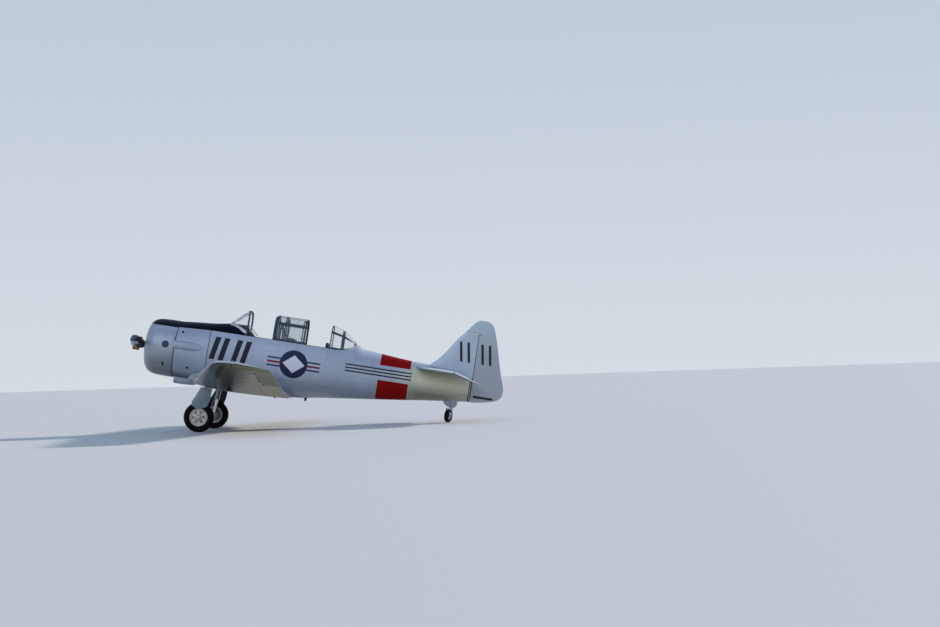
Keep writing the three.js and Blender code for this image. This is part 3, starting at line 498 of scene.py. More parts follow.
def facing_up(paint):
    """How far the surface faces upwards: 1 for a top, -1 for an underside."""
    geometry = paint.tree.nodes.new("ShaderNodeNewGeometry")
    split = paint.tree.nodes.new("ShaderNodeSeparateXYZ")
    paint.tree.links.new(geometry.outputs["True Normal"], split.inputs[0])
    return Field(paint, split.outputs[2])


def near(field, places):
    """The distance to the nearest of a few places."""
    found = (field - places[0]).abs()
    for place in places[1:]:
        found = found.least((field - place).abs())
    return found


TOP_EDGE = [(1.0, 0.507), (1.14, 0.515), (1.47, 0.533), (1.88, 0.554), (2.71, 0.556)]


def black_top(paint, scale=1.0):
    """The dull black panel ahead of the windscreen, above the line of TOP_EDGE."""
    line = None
    for (x0, z0), (x1, z1) in zip(TOP_EDGE, TOP_EDGE[1:]):
        slope = (z1 - z0) / (x1 - x0)
        part = paint.x * slope + (z0 - x0 * slope)
        line = part if line is None else line.least(part)
    mask = (paint.z - line).over(0.0, 0.002) * scale
    paint.cover(mask, NAVY)
    return mask


def tilted_bars(paint, first, last, low, high, slant, wide, pitch):
    """Plain slanted bars between two x places and two heights."""
    lean = paint.x - paint.z * slant
    bars = (lean - first).every(pitch).under(wide / 2, 0.002)
    return bars * lean.within(first - pitch / 2, last) * paint.z.within(low, high)


def lined_disc(paint, u, v, radius):
    """A plain disc with a pale diamond, and on each side a maroon line between two blue ones."""
    beside = u.abs().under(radius * 1.9, 0.002)
    paint.cover(beside * (v.abs() - radius * 0.28).abs().under(radius * 0.055, 0.002), DEEP_BLUE)
    paint.cover(beside * v.abs().under(radius * 0.07, 0.002), MAROON)
    paint.cover(distance(u, v).under(radius, 0.002), DEEP_BLUE)
    paint.cover((u.abs() + v.abs() * 1.25).under(radius * 0.8, 0.002), PALE)


# Fuselage
# x, top, bottom, half width, height of the widest line, squareness above it and below it
STATIONS = [
    [1130, 664, -655, 640, 0, 2.0, 2.0],
    [1500, 700, -665, 612, -10, 2.1, 2.1],
    [1900, 735, -668, 580, -20, 2.2, 2.2],
    [2300, 790, -672, 552, -30, 2.2, 2.2],
    [2700, 805, -680, 532, -40, 2.2, 2.3],
    [3300, 805, -690, 518, -45, 2.2, 2.3],
    [3985, 800, -704, 510, -45, 2.2, 2.3],
    [4600, 785, -622, 485, -30, 2.2, 2.2],
    [5300, 750, -534, 420, 10, 2.1, 2.2],
    [5500, 672, -508, 398, 20, 2.1, 2.2],
    [5900, 626, -458, 350, 45, 2.1, 2.2],
    [6600, 566, -367, 268, 80, 2.1, 2.2],
    [7100, 545, -300, 205, 105, 2.1, 2.2],
    [7600, 505, -240, 138, 125, 2.1, 2.2],
    [8035, 455, -186, 52, 135, 2.1, 2.2],
]
body_at = smooth(STATIONS)
FIREWALL_X, SPLIT_X, TAIL_X = 1900, 5300, 8034
SILL = [(2700, 555), (4860, 555), (4990, 575), (5120, 624), (5215, 690), (5262, 752)]
LEDGE_Y, LEDGE_UNDER = 318, 480
TUB_BACK, TUB_INSET = 5000, 42
WING_BACK = 3985


def table_line(pairs, x):
    """Reads x, z pairs at any x, on straight lines between them."""
    for (x0, z0), (x1, z1) in zip(pairs, pairs[1:]):
        if x <= x1:
            return mix(z0, z1, max(0, (x - x0) / (x1 - x0)))
    return pairs[-1][1]


def hull(x, angle, out=0.0):
    """A point of the fuselage's skin, moved outwards by a distance."""
    _, top, bottom, width, middle, above, below = body_at(x)
    c, s = cos(angle), sin(angle)
    power = 2 / (above if s >= 0 else below)
    reach = top - middle if s >= 0 else middle - bottom
    y = bowed(c, power) * (width + out)
    z = middle + bowed(s, power) * (reach + out)
    if 1700 < x < 3980:
        z = max(z, wing_skin(x, min(abs(y), 1400))[1] + 12)
    return (x, y, z)


def hull_angle(x, z):
    """The angle at which the skin passes a height, on the starboard side."""
    _, top, bottom, _, middle, above, below = body_at(x)
    reach = top - middle if z >= middle else middle - bottom
    share = min(1.0, abs(z - middle) / reach) ** ((above if z >= middle else below) / 2)
    return copysign(asin(share), z - middle)


def hull_width(x, z, inset=0.0):
    """Half the fuselage's width at a height."""
    _, top, bottom, width, middle, above, below = body_at(x)
    reach = (top - middle if z >= middle else middle - bottom) - inset
    power = above if z >= middle else below
    return max(0.0, 1 - min(1, abs(z - middle) / reach) ** power) ** (1 / power) * (width - inset)


# Wing
def foil(s, ratio, camber=0.02):
    """An aerofoil's upper and lower heights at a share s of its chord, as shares of the chord."""
    half = 5 * ratio * (0.2969 * sqrt(max(s, 0)) - 0.126 * s - 0.3516 * s ** 2
                        + 0.2843 * s ** 3 - 0.1036 * s ** 4) + 0.0016 * s
    p = 0.4
    if s < p:
        line = camber / p ** 2 * (2 * p * s - s ** 2)
    else:
        line = camber / (1 - p) ** 2 * (1 - 2 * p + 2 * p * s - s ** 2)
    return line + half, line - half


def with_between(a, b, shares):
    return [[mix(p, q, s) for p, q in zip(a, b)] for s in shares]


# place along the span, front, back, the chord line's height at both, thickness by chord
ROOT_ROW = [1420, 1790, 3985, -600, -700, 0.15]
TIP_ROW = [5700, 2700, 3985, -135, -165, 0.1]
CENTRE_ROWS = [
    [0, 1600, 3985, -606, -700, 0.14],
    [250, 1590, 3985, -606, -700, 0.14],
    [880, 1590, 3985, -606, -700, 0.14],
    [1180, 1730, 3985, -600, -700, 0.15],
    ROOT_ROW,
]
OUTER_ROWS = [
    ROOT_ROW, *with_between(ROOT_ROW, TIP_ROW, (0.5, 0.9)), TIP_ROW,
    [5950, 2775, 3985, -106, -133, 0.098],
    [6150, 2885, 3975, -80, -106, 0.092],
    [6290, 3020, 3945, -62, -86, 0.082],
    [6370, 3170, 3895, -50, -72, 0.066],
    [6405, 3350, 3820, -43, -60, 0.04],
]
centre_at, outer_at = smooth(CENTRE_ROWS), smooth(OUTER_ROWS)


def wing_row(y):
    return centre_at(y) if y <= ROOT_ROW[0] else outer_at(y)


def row_skin(row, x, camber=0.02):
    """The upper and lower heights of an aerofoil row at x."""
    _, front, back, front_z, back_z, ratio = row
    chord = back - front
    s = min(1, max(0, (x - front) / chord))
    up, down = foil(s, ratio, camber)
    base = mix(front_z, back_z, s)
    return base + up * chord, base + down * chord


def wing_skin(x, y):
    return row_skin(wing_row(y), x)


def section(row, upper_end, lower_end, closure, camber=0.02):
    """Upper skin forward round the nose to the lower skin, then a given way back to the start."""
    front = row[1]
    bows = [1 - cos(pi / 2 * t) for t in spread(0, 1, 26)]
    upper = [(mix(front, upper_end, b), 0) for b in reversed(bows)]
    lower = [(mix(front, lower_end, b), 1) for b in bows[1:]]
    return [(x, row_skin(row, x, camber)[k]) for x, k in upper + lower] + closure


# Materials
def fuselage_paint():
    """Bare metal with a painted highlight above, painted shade below, and a warm painted ground reflection
    low on the rear port side.
    """
    paint = silver("silver_fuselage")
    weather(paint)
    # Painted highlight: surfaces that face up are made paler.
    paint.cover(facing_up(paint).over(0.6, 0.25) * 0.5, (0.72, 0.74, 0.77))
    # Painted shade: darker towards the bottom.
    paint.cover(paint.z.under(-0.22, 0.22) * 0.45, (0.25, 0.28, 0.31))
    # Painted warm reflection of the ground low on the rear port side, with painted shade under it.
    painted_ground_reflection = paint.x.over(6.5, 0.35) * paint.z.under(0.40, 0.10) * paint.y.under(0.0, 0.12)
    paint.cover(painted_ground_reflection * 0.8, (0.80, 0.79, 0.52))
    paint.cover(painted_ground_reflection * paint.z.under(0.0, 0.14) * 0.85, (0.17, 0.175, 0.145))
    turn = paint.y.math("ARCTAN2", paint.z - 0.02)
    frames = [1.91, 2.32, 2.92, 3.52, 4.12, 4.64, 5.30, 5.72, 6.18, 6.66, 7.12, 7.52]
    stringers = [-0.33, -0.02, 0.30]
    seams(paint, near(paint.x, frames), turn * 0.5)
    seams(paint, near(paint.z, stringers), paint.x)
    top = black_top(paint, paint.x.under(2.702))
    sides = paint.y.abs().over(0.02)
    band = paint.x.within(5.89, 6.61) * paint.z.over(0.36).most(paint.z.under(0.01))
    paint.cover(band, SIGNAL_RED)
    stripes = paint.x.within(5.10, 6.66) * near(paint.z, [0.115, 0.19, 0.265]).under(0.016)
    paint.cover(stripes * sides, INK)
    for first in (2.02, 2.53):
        bars = tilted_bars(paint, first, first + 0.28, -0.10, 0.43, 0.18, 0.125, 0.21)
        paint.cover(bars * sides, INK)
    lined_disc(paint, paint.x - 3.906, paint.z - 0.068, 0.325)
    dull(paint, top.most(band))
    mottled(paint, 0.27, 0.46)
    return paint.material


def cowl_paint():
    """Bare metal with dull black on top, a dark disc and a round vent on each side, and painted shade with
    the ground's reflection low down.
    """
    paint = silver("silver_cowl")
    weather(paint, 0.8)
    # Painted shade and ground reflection: darker and warmer towards the bottom.
    paint.cover(paint.z.under(0.0, 0.45) * 0.45, (0.30, 0.32, 0.30))
    paint.cover(paint.z.under(-0.36, 0.24) * 0.6, (0.17, 0.175, 0.135))
    turn = paint.y.math("ARCTAN2", paint.z)
    seams(paint, (paint.x - 1.098).abs(), turn * 0.66)
    seams(paint, near(turn, [0.62, -0.62, 2.2, -2.2]) * 0.66, paint.x)
    top = paint.z.over(0.502, 0.002)
    paint.cover(top, NAVY)
    disc = distance(paint.x - 0.918, paint.z - 0.081)
    paint.cover(disc.under(0.082, 0.004), (0.012, 0.018, 0.04))
    paint.cover(disc.under(0.045, 0.02) * 0.5, (0.07, 0.10, 0.17))
    vent = distance((paint.x - 0.905) * 2.2, paint.z + 0.38)
    paint.cover(vent.under(0.055, 0.003), INK)
    dull(paint, top)
    mottled(paint, 0.24, 0.4)
    return paint.material


def nose_paint():
    """Bare metal with a dark joint at the firewall, two small round dark marks on each side, and painted
    shadow on the faces that look down.
    """
    paint = silver("silver_nose")
    weather(paint)
    turn = paint.y.math("ARCTAN2", paint.z)
    seams(paint, (paint.x - 1.885).abs(), turn * 0.6)
    paint.cover((paint.x - 1.893).abs().under(0.007, 0.003) * 0.8, INK)
    top = black_top(paint)
    for x, z in ((1.255, 0.417), (1.476, -0.388)):
        paint.cover(distance(paint.x - x, paint.z - z).under(0.028, 0.002), INK)
    # Painted shadow on the faces that look down, under the nose.
    paint.cover(facing_up(paint).under(-0.80, 0.10) * 0.8, (0.03, 0.03, 0.028))
    dull(paint, top)
    mottled(paint, 0.26, 0.42)
    return paint.material


def panel_paint():
    paint = silver("silver_panels")
    weather(paint)
    mottled(paint, 0.28, 0.45)
    return paint.material


# Painted reflections of the ground on the undersides: shaded ground ahead, lit ground further aft.
SHADED_GROUND_REFLECTION = (0.018, 0.019, 0.004)
LIT_GROUND_REFLECTION = (0.092, 0.104, 0.030)


def wing_paint(name, disc_y=None, upper=True):
    """The wing's skin, with a painted highlight on top, and a smoother underside painted dark with the
    ground's reflection.
    """
    paint = silver(name)
    weather(paint)
    seams(paint, near(paint.x, [2.25, 2.80, 3.35]), paint.y)
    seams(paint, (paint.y.abs() - 0.12).every(0.47), paint.x)
    height = facing_up(paint)
    # Painted highlight: surfaces that face up are made paler.
    paint.cover(height.over(0.6, 0.25) * 0.4, (0.72, 0.74, 0.77))
    # The underside is painted near black, olive further aft, as the ground's reflection; a lighter grey strip
    # runs near the leading edge.
    below = height.under(-0.25, 0.12)
    paint.cover(below, SHADED_GROUND_REFLECTION)
    paint.cover(below * paint.x.under(2.61, 0.01), (0.085, 0.10, 0.09))
    paint.cover(below * paint.x.over(3.3, 0.3), LIT_GROUND_REFLECTION)
    if disc_y:
        side = height.over(0.0, 0.1) if upper else height.under(0.0, 0.1)
        close = (paint.y - disc_y).abs().under(1.3)
        far = (side * close - 1.0) * 9.0
        lined_disc(paint, (paint.y - disc_y) + far, (paint.x - 3.12) + far, 0.40)
    dull(paint, below, (0.31, 0.23, 0.08))
    paint.set("Roughness", paint.noise(3.0, 3.0) * 0.2 + 0.22 - below * 0.16)
    return paint.material


def fabric_paint(name, ribs, axis, color=SKY_TINTED_SILVER):
    """Doped fabric over ribs: a soft ridge at each rib with its tape."""
    paint = silver(name, 0.42, 0.25, color)
    weather(paint, 0.8)
    rib = getattr(paint, axis).every(ribs)
    paint.bump(rib.under(0.02, 0.02), 0.003, 0.8)
    paint.cover(rib.under(0.014, 0.002) * 0.12, (0.5, 0.52, 0.56))
    paint.bump(paint.noise(900.0, 1.0), 0.0001, 0.3)
    return paint


def metal(name, color, rough, metal_share, grain=160.0, depth=0.0002, grime=0.35, **sockets):
    """A plain hard surface with stains, uneven roughness and fine grain."""
    paint = Paint(name, color, rough, metal_share, **sockets)
    paint.cover(paint.noise(14.0, 4.0).over(0.55, 0.12) * grime, tuple(c * 0.45 for c in color))
    paint.range("Roughness", paint.noise(30.0, 3.0), rough * 0.8, min(1, rough * 1.35))
    paint.bump(paint.noise(grain, 2.0), depth, 0.5)
    return paint


def clear_panel(name):
    """Thin acrylic: mostly clear, faintly tinted, with fine dust on it."""
    paint = Paint(name, (0.30, 0.46, 0.47), 0.03, 0.0, Alpha=0.1, IOR=1.49, Specular_IOR_Level=0.8)
    dust = paint.noise(26.0, 4.0)
    paint.range("Alpha", dust, 0.08, 0.12)
    paint.range("Roughness", dust, 0.01, 0.07)
    paint.material.surface_render_method = "BLENDED"
    return paint.material


def tail_paint():
    """Bare metal with a painted sky reflection on its sides, a painted highlight on top and a painted
    reflection of the dark ground below.
    """
    paint = silver("silver_tail")
    weather(paint)
    height = facing_up(paint)
    # Painted sky reflection on the sides, painted highlight on top, painted ground reflection underneath.
    paint.cover(height.abs().under(0.4, 0.2) * 0.4, (0.50, 0.62, 0.68))
    paint.cover(height.over(0.6, 0.25) * 0.7, (0.76, 0.78, 0.80))
    paint.cover(height.under(-0.4, 0.2) * 0.9, (0.10, 0.10, 0.065))
    seams(paint, near(paint.x, [7.20, 7.62]), paint.y + paint.z)
    paint.cover(tilted_bars(paint, 7.88, 8.15, 0.73, 1.20, -0.16, 0.06, 0.18), INK)
    mottled(paint, 0.26, 0.42)
    return paint.material


def rudder_paint():
    """Fabric with a painted sky reflection that makes it paler near the top, dark bars, a nose painted dark
    as the shade in the hinge gap, and a dark lower edge.
    """
    paint = fabric_paint("fabric_rudder", 0.165, "z", (0.37, 0.40, 0.44))
    # Painted sky reflection: paler and bluer near the top.
    paint.cover(paint.z.over(1.25, 0.3) * 0.6, (0.50, 0.61, 0.67))
    paint.cover(tilted_bars(paint, 8.39, 8.66, 0.73, 1.20, -0.16, 0.06, 0.18), INK)
    # Painted shade: the nose in the hinge gap and the strip under the horn are dark as the gaps' shade.
    nose = paint.x.under(8.094, 0.003) * paint.z.under(1.414, 0.002)
    paint.cover(nose.most(paint.x.under(8.16) * paint.z.within(1.41, 1.4215)), INK)
    paint.cover(paint.x.within(8.16, 8.62) * paint.z.within(-0.075, -0.02), INK)
    return paint.material


def aileron_paint():
    paint = fabric_paint("fabric_ailerons", 0.2, "y")
    # Painted ground reflection on the underside.
    paint.cover(facing_up(paint).under(-0.25, 0.12) * 0.9, LIT_GROUND_REFLECTION)
    return paint.material


def elevator_paint():
    paint = fabric_paint("fabric_elevator", 0.155, "y")
    height = facing_up(paint)
    # Painted highlight on the surfaces that face up.
    paint.cover(height.over(0.5, 0.25) * 0.5, (0.66, 0.68, 0.71))
    # Painted ground reflection on the underside.
    paint.cover(height.under(-0.4, 0.2) * 0.9, (0.12, 0.125, 0.08))
    return paint.material


def lens(name, color, alpha):
    """Thick coloured glass or plastic of a lamp."""
    paint = Paint(name, color, 0.12, 0.0, Alpha=alpha, IOR=1.5, Coat_Weight=0.6)
    paint.bump(paint.noise(60.0, 2.0), 0.0004, 0.4)
    return paint.material


def walkway_paint():
    """Coarse dark grit with grey dust."""
    paint = Paint("walkway_grit", (0.022, 0.023, 0.025), 0.85)
    paint.bump(paint.noise(700.0, 2.0), 0.0008, 0.8)
    paint.cover(paint.noise(6.0, 4.0).over(0.56, 0.1) * 0.35, (0.09, 0.09, 0.09))
    return paint.material


def leather_paint(name, color):
    """Leather with fine grain, soft folds and paler worn places."""
    paint = Paint(name, color, 0.5, 0.0, Sheen_Weight=0.1)
    paint.bump(paint.cells(420.0), 0.0006, 0.6)
    paint.bump(paint.noise(18.0, 4.0), 0.004, 0.3)
    paint.cover(paint.noise(9.0, 4.0).over(0.55, 0.1) * 0.4, tuple(c * 1.8 for c in color))
    paint.range("Roughness", paint.noise(12.0, 3.0), 0.42, 0.68)
    return paint.material


def webbing_paint():
    """Woven belts: threads both ways, and dirt."""
    paint = Paint("belt_webbing", (0.18, 0.165, 0.12), 0.85, 0.0, Sheen_Weight=0.3)
    threads = paint.y.every(0.0022).over(0.0006, 0.0003)
    across = (paint.x + paint.z).every(0.003).over(0.0008, 0.0004)
    paint.bump(threads * across, 0.0006, 0.8)
    paint.cover(paint.noise(30.0, 3.0).over(0.55, 0.1) * 0.3, (0.10, 0.09, 0.07))
    return paint.material


def rubber_paint():
    """Tyre rubber with dried earth in places."""
    paint = Paint("tyre_black", (0.004, 0.004, 0.0035), 0.76, Specular_IOR_Level=0.1)
    paint.cover(paint.noise(7.0, 4.0).over(0.52, 0.14) * 0.3, (0.022, 0.019, 0.014))
    paint.bump(paint.noise(500.0, 2.0), 0.0003, 0.6)
    paint.range("Roughness", paint.noise(12.0, 3.0), 0.65, 0.9)
    return paint.material


def wheel_face_paint():
    """Cast wheels: six pockets between the spokes with brownish painted shade in them, and painted shade in
    the middle of the face towards the aircraft.
    """
    paint = metal("wheel_face", (0.78, 0.72, 0.66), 0.4, 0.2, 120.0, 0.0002)
    out, up = paint.x - AXLE["x"] / 1000, paint.z - AXLE["z"] / 1000
    radius = distance(out, up)
    between_spokes = (up.math("ARCTAN2", out) * 6.0).math("COSINE").over(-0.05, 0.25)
    # Painted shade in the pockets, which the bump below also presses in.
    shaded_pocket = between_spokes * radius.within(0.082, 0.148)
    paint.cover(shaded_pocket * 0.75, (0.18, 0.13, 0.11))
    paint.bump(-shaded_pocket, 0.004, 0.8)
    paint.cover(radius.within(0.166, 0.174) * 0.7, (0.08, 0.08, 0.085))
    # Painted shade in the middle of the face towards the aircraft; further out that face is greyer.
    inside = paint.y.abs().under(AXLE["y"] / 1000, 0.002)
    paint.cover(inside * radius.under(0.150, 0.004), (0.03, 0.034, 0.032))
    paint.cover(inside * radius.over(0.150, 0.004) * 0.7, (0.62, 0.64, 0.62))
    return paint.material


def fairing_paint():
    """Silver outside; the face towards the leg is painted near black."""
    paint = metal("fairing_silver", (0.23, 0.295, 0.34), 0.4, 0.25)
    paint.cover(paint.y.abs().under(1.4435, 0.002), (0.03, 0.034, 0.03))
    seams(paint, (paint.z + 0.80).abs(), paint.x, 0.0006, 0.05)
    return paint.material


SKIN = fuselage_paint()
COWL_SKIN = cowl_paint()
NOSE_SKIN = nose_paint()
BARE = panel_paint()
WING_LEFT = wing_paint("silver_wing_left", -4.55, True)
WING_RIGHT = wing_paint("silver_wing_right", 4.55, False)
WING_MIDDLE = wing_paint("silver_wing_centre")
FLAP_SKIN = wing_paint("silver_flaps")
INNER = metal("inner_metal", (0.05, 0.055, 0.05), 0.7, 0.1).material
COCKPIT_GREEN = metal("cockpit_green", (0.05, 0.075, 0.045), 0.6, 0.0).material
BLACK_PAINT = metal("matt_black", (0.012, 0.012, 0.014), 0.7, 0.0, Specular_IOR_Level=0.15).material
CAST = metal("cast_grey", (0.085, 0.088, 0.092), 0.55, 0.5).material
FIN_METAL = metal("finned_barrels", (0.03, 0.03, 0.032), 0.5, 0.6).material
# The hub's blue is a painted reflection of the sky.
SKY_TINTED_HUB = metal("hub_alloy_sky_tint", (0.40, 0.52, 0.70), 0.2, 1.0, 240.0, 0.00006, 0.1).material
CHROME = metal("chrome", (0.72, 0.73, 0.75), 0.08, 1.0, 300.0, 0.00003, 0.05).material
STEEL = metal("plain_steel", (0.30, 0.31, 0.33), 0.38, 0.9).material
BURNT = metal("burnt_steel", (0.10, 0.07, 0.05), 0.6, 0.8, 60.0, 0.0006).material
FRAME_GREY = metal("canopy_frame", (0.035, 0.052, 0.066), 0.42, 0.2).material
# Silver frame made brighter as a painted glint.
GLINT_FRAME = metal("bright_frame_glint", (0.62, 0.65, 0.70), 0.3, 0.3).material
GLASS = clear_panel("clear_panels")
LEG_GREY = metal("leg_grey", (0.33, 0.37, 0.45), 0.42, 0.2).material
# The blades' blue is a painted reflection of the sky.
SKY_TINTED_BLADES = metal("blade_alloy_sky_tint", (0.33, 0.45, 0.62), 0.20, 1.0, 200.0, 0.00005, 0.08).material
BRONZE = metal("bronze_weights", (0.26, 0.15, 0.05), 0.42, 0.9, 60.0, 0.0004).material
BARE_TAIL = tail_paint()
RUDDER_FABRIC = rudder_paint()
ELEVATOR_FABRIC = elevator_paint()
AILERON_FABRIC = aileron_paint()
WALKWAY = walkway_paint()
# The landing light's amber is a painted reflection of the ground in its reflector.
LENS_GROUND_REFLECTION = lens("lens_light", (0.26, 0.09, 0.02), 0.85)
LAMP_RED = lens("lamp_red", (0.07, 0.006, 0.006), 0.85)
LAMP_GREEN = lens("lamp_green", (0.01, 0.14, 0.04), 0.85)
LAMP_CLEAR = lens("lamp_clear", (0.8, 0.8, 0.8), 0.7)
LEATHER = leather_paint("seat_leather", (0.055, 0.045, 0.032))
LEATHER_DARK = leather_paint("piping_leather", (0.025, 0.02, 0.016))
WEBBING = webbing_paint()
SEAT_METAL = metal("seat_metal", (0.10, 0.13, 0.09), 0.5, 0.1).material
DIAL_BLACK = metal("dial_black", (0.006, 0.006, 0.007), 0.35, 0.0).material
DIAL_WHITE = metal("dial_white", (0.75, 0.75, 0.70), 0.5, 0.0).material
RUBBER = rubber_paint()
WHEEL_GREY = metal("wheel_grey", (0.36, 0.38, 0.42), 0.4, 0.35, 120.0, 0.0002).material
WHEEL_FACE = wheel_face_paint()
HUB_CAP = metal("hub_cap", (0.80, 0.73, 0.66), 0.34, 0.2, 120.0, 0.0001).material
FAIRING = fairing_paint()


# Nose
AROUND = 96


def make_cowl():
    front = 405
    lip_at = smooth([[0, 405], [6, 440], [22, 485], [62, 555], [140, 620], [277, 656], [470, 667]])
    outer = [[front + d, lip_at(d)[1]] for d in (0, 3, 7, 13, 22, 34, 50, 74, 104, 140, 180, 225, 277,
                                                 340, 405, 470)]
    outer += [[945, 667], [1025, 667], [1108, 666], [1115, 664], [1116, 660]]
    inner = [[1112, 653], [900, 652], [720, 641], [590, 607], [505, 556], [458, 500], [440, 452],
             [434, 424], [426, 402], [415, 396], [407, 398]]
    shape = Shape()
    shape.lathe(outer + [inner[0]], MIDDLE, AFT, AROUND, caps=False)
    shape.paint = 1
    shape.lathe(inner + [outer[0]], MIDDLE, AFT, AROUND, caps=False)
    piece("cowl_shell", shape, [COWL_SKIN, INNER], replaces=["cowl"], angle=50)
    trim = Shape()
    for y, z in circle(24, 7.5):
        out = Vector((0, y, z))
        trim.lathe([[0, 7], [1.6, 6.5], [2.0, 0]], Vector((1086, 0, 0)) + out * 666.3, out, 10)
    piece("cowl_fasteners", trim, STEEL)


def beside_barrel(k, x, out, side):
    """A place beside barrel k: out along the barrel, side across it."""
    return Matrix.Rotation(radians(40 * k), 3, "X") @ Vector((x, side, out))


def barrel_profile():
    """Seventeen fins along the barrel and nine deeper ones round its head."""
    profile = [[205, 92], [222, 92], [224, 70]]
    for k in range(17):
        start, reach = 238 + 11.5 * k, 84 + 3 * min(k, 3)
        profile += [[start, 70], [start + 0.5, reach], [start + 4.2, reach], [start + 4.7, 70]]
    for k in range(9):
        start, reach = 440 + 13.5 * k, 99 + 3 * (k % 2)
        profile += [[start, 78], [start + 0.5, reach], [start + 4.5, reach], [start + 5, 78]]
    return profile + [[568, 70], [572, 40], [574, 0]]


def make_engine():
    case = Shape()
    case.lathe([[396, 40], [398, 78], [408, 92], [425, 118], [438, 126], [452, 124], [470, 140],
                [520, 168], [560, 196], [575, 214], [600, 218], [620, 214], [790, 222], [820, 240],
                [860, 300], [1060, 320], [1126, 338]], MIDDLE, AFT, 60)
    for x, radius, size in ((436, 108, 9), (572, 203, 8)):
        places = [(x, y, z) for y, z in circle(18, 10, radius)]
        case.studs([[0, size], [size, size], [size, 0]], places, AHEAD, 6)
    barrels, rods, covers = Shape(), Shape(), Shape()
    profile = barrel_profile()
    for k in range(9):
        out = beside_barrel(k, 0, 1, 0)
        barrels.lathe(profile, (700, 0, 0), out, 30)
        for hand in (-1, 1):
            foot, top = beside_barrel(k, 585, 200, 34 * hand), beside_barrel(k, 618, 560, 46 * hand)
            along = (top - foot).normalized()
            rods.tube([foot, top], 11, 10)
            rods.tube([foot - along * 6, foot + along * 26], 17, 10)
            covers.lathe([[-2, 20], [2, 32], [40, 34], [52, 30], [56, 18], [57, 0]],
                         beside_barrel(k, 644, 560, 46 * hand), out - Vector((0.34, 0, 0)), 14)
            covers.lathe([[0, 9], [16, 9], [16, 6], [34, 6], [34, 0]],
                         beside_barrel(k, 600, 500, 26 * hand), AHEAD, 8)
        lead = [(540, 214, 18), (528, 300, 40), (540, 420, 52), (572, 500, 30)]
        rods.tube(curve([beside_barrel(k, *place) for place in lead], 12), 5, 8)
    rods.tube([(540, y, z) for y, z in [*circle(48, 0, 214), (214, 0)]], 12, 8)
    piece("engine_case", case, CAST, replaces=["engine"], angle=30)
    piece("engine_barrels", barrels, FIN_METAL, angle=30)
    piece("engine_rocker_covers", covers, CAST, angle=30)
    piece("engine_rods_and_leads", rods, STEEL)
    shield = Shape()
    shield.lathe([[800, 225], [806, 400], [812, 640], [818, 640], [814, 400], [808, 225]], MIDDLE, AFT, 64,
                 closed=True)
    piece("engine_baffle", shield, BLACK_PAINT)


# distance from the hub's centre, chord, pitch in degrees, thickness by chord
BLADE = [
    [95, 92, 60, 0.95], [150, 96, 57, 0.85], [240, 120, 52, 0.52], [330, 150, 47, 0.32],
    [420, 178, 43, 0.22], [560, 204, 37, 0.155], [700, 214, 32, 0.12], [850, 212, 28, 0.1],
    [1000, 200, 25, 0.09], [1150, 178, 22.6, 0.084], [1270, 146, 21, 0.08], [1330, 112, 20, 0.075],
    [1358, 82, 19.4, 0.07], [1370, 44, 19, 0.06],
]
blade_at = smooth(BLADE)


def blade_ring(r, side):
    """The blade's aerofoil at a distance from the hub's centre."""
    _, chord, pitch, ratio = blade_at(r)
    angle = radians(pitch)
    spots = [(1 - cos(pi * t)) / 2 for t in spread(0, 1, 12)]
    outline = [(s, foil(s, ratio, 0)[0]) for s in reversed(spots)]
    outline += [(s, foil(s, ratio, 0)[1]) for s in spots[1:-1]]
    ring = []
    for s, h in outline:
        u, v = (s - 0.4) * chord, h * chord
        x = u * sin(angle) - v * cos(angle)
        z = -u * cos(angle) - v * sin(angle)
        ring.append((HUB_X + x, r * side, z * side))
    return ring


def make_propeller():
    blades = Shape()
    for side in (-1, 1):
        blades.loft([blade_ring(r, side) for r in (95, 120, 150, 190, 240, 290, 340, 400, 470, 550, 640,
                                                   740, 840, 940, 1040, 1130, 1200, 1260, 1305, 1335,
                                                   1355, 1366, 1370)])
    piece("propeller_blades", blades, SKY_TINTED_BLADES, body="propeller", replaces=["propeller"],
          angle=60)
    hub = Shape()
    hub.lathe([[0, 0], [1, 22], [4, 34], [12, 48], [14, 60], [20, 64], [30, 66], [44, 80], [60, 90],
               [78, 95], [150, 96], [156, 90], [170, 90]], MIDDLE, AFT, 48)
    hub.paint = 1
    hub.lathe([[170, 90], [178, 102], [290, 102], [300, 96], [304, 80], [318, 74], [394, 74]],
              MIDDLE, AFT, 48)
    for side in (-1, 1):
        hub.lathe([[30, 76], [128, 76], [134, 82], [158, 82], [162, 72], [188, 68], [200, 58]],
                  (HUB_X, 0, 0), (0, side, 0), 36)
        places = [(HUB_X + x, 140 * side, z) for x, z in circle(4, 45, 84)]
        hub.studs([[-14, 11], [14, 11], [18, 7], [20, 0]], places, (0, side, 0), 6)
    hub.studs([[0, 7], [-7, 7], [-7, 0]], [(24, y, z) for y, z in circle(8, 0, 52)], AFT, 6)
    piece("propeller_hub", hub, [SKY_TINTED_HUB, CAST], body="propeller", angle=30)
    weights = Shape()
    for side in (-1, 1):
        end = (146, 118 * side, 128 * side)
        weights.tube(curve([(170, 96 * side, 30 * side), (150, 112 * side, 84 * side), end], 6), 22, 12)
        weights.lathe([[-62, 28], [-54, 42], [86, 42], [94, 28]], end, (1, 0.25 * side, 0), 24)
    piece("propeller_weights", weights, BRONZE, body="propeller", angle=30)


def nose_ring(x, out=0.0, share=1.0, at=None):
    """The hull's whole outline at x, perhaps shrunk and drawn at another x."""
    points = [hull(x, 2 * pi * k / AROUND, out) for k in range(AROUND)]
    return [(x if at is None else at, y * share, z * share) for _, y, z in points]


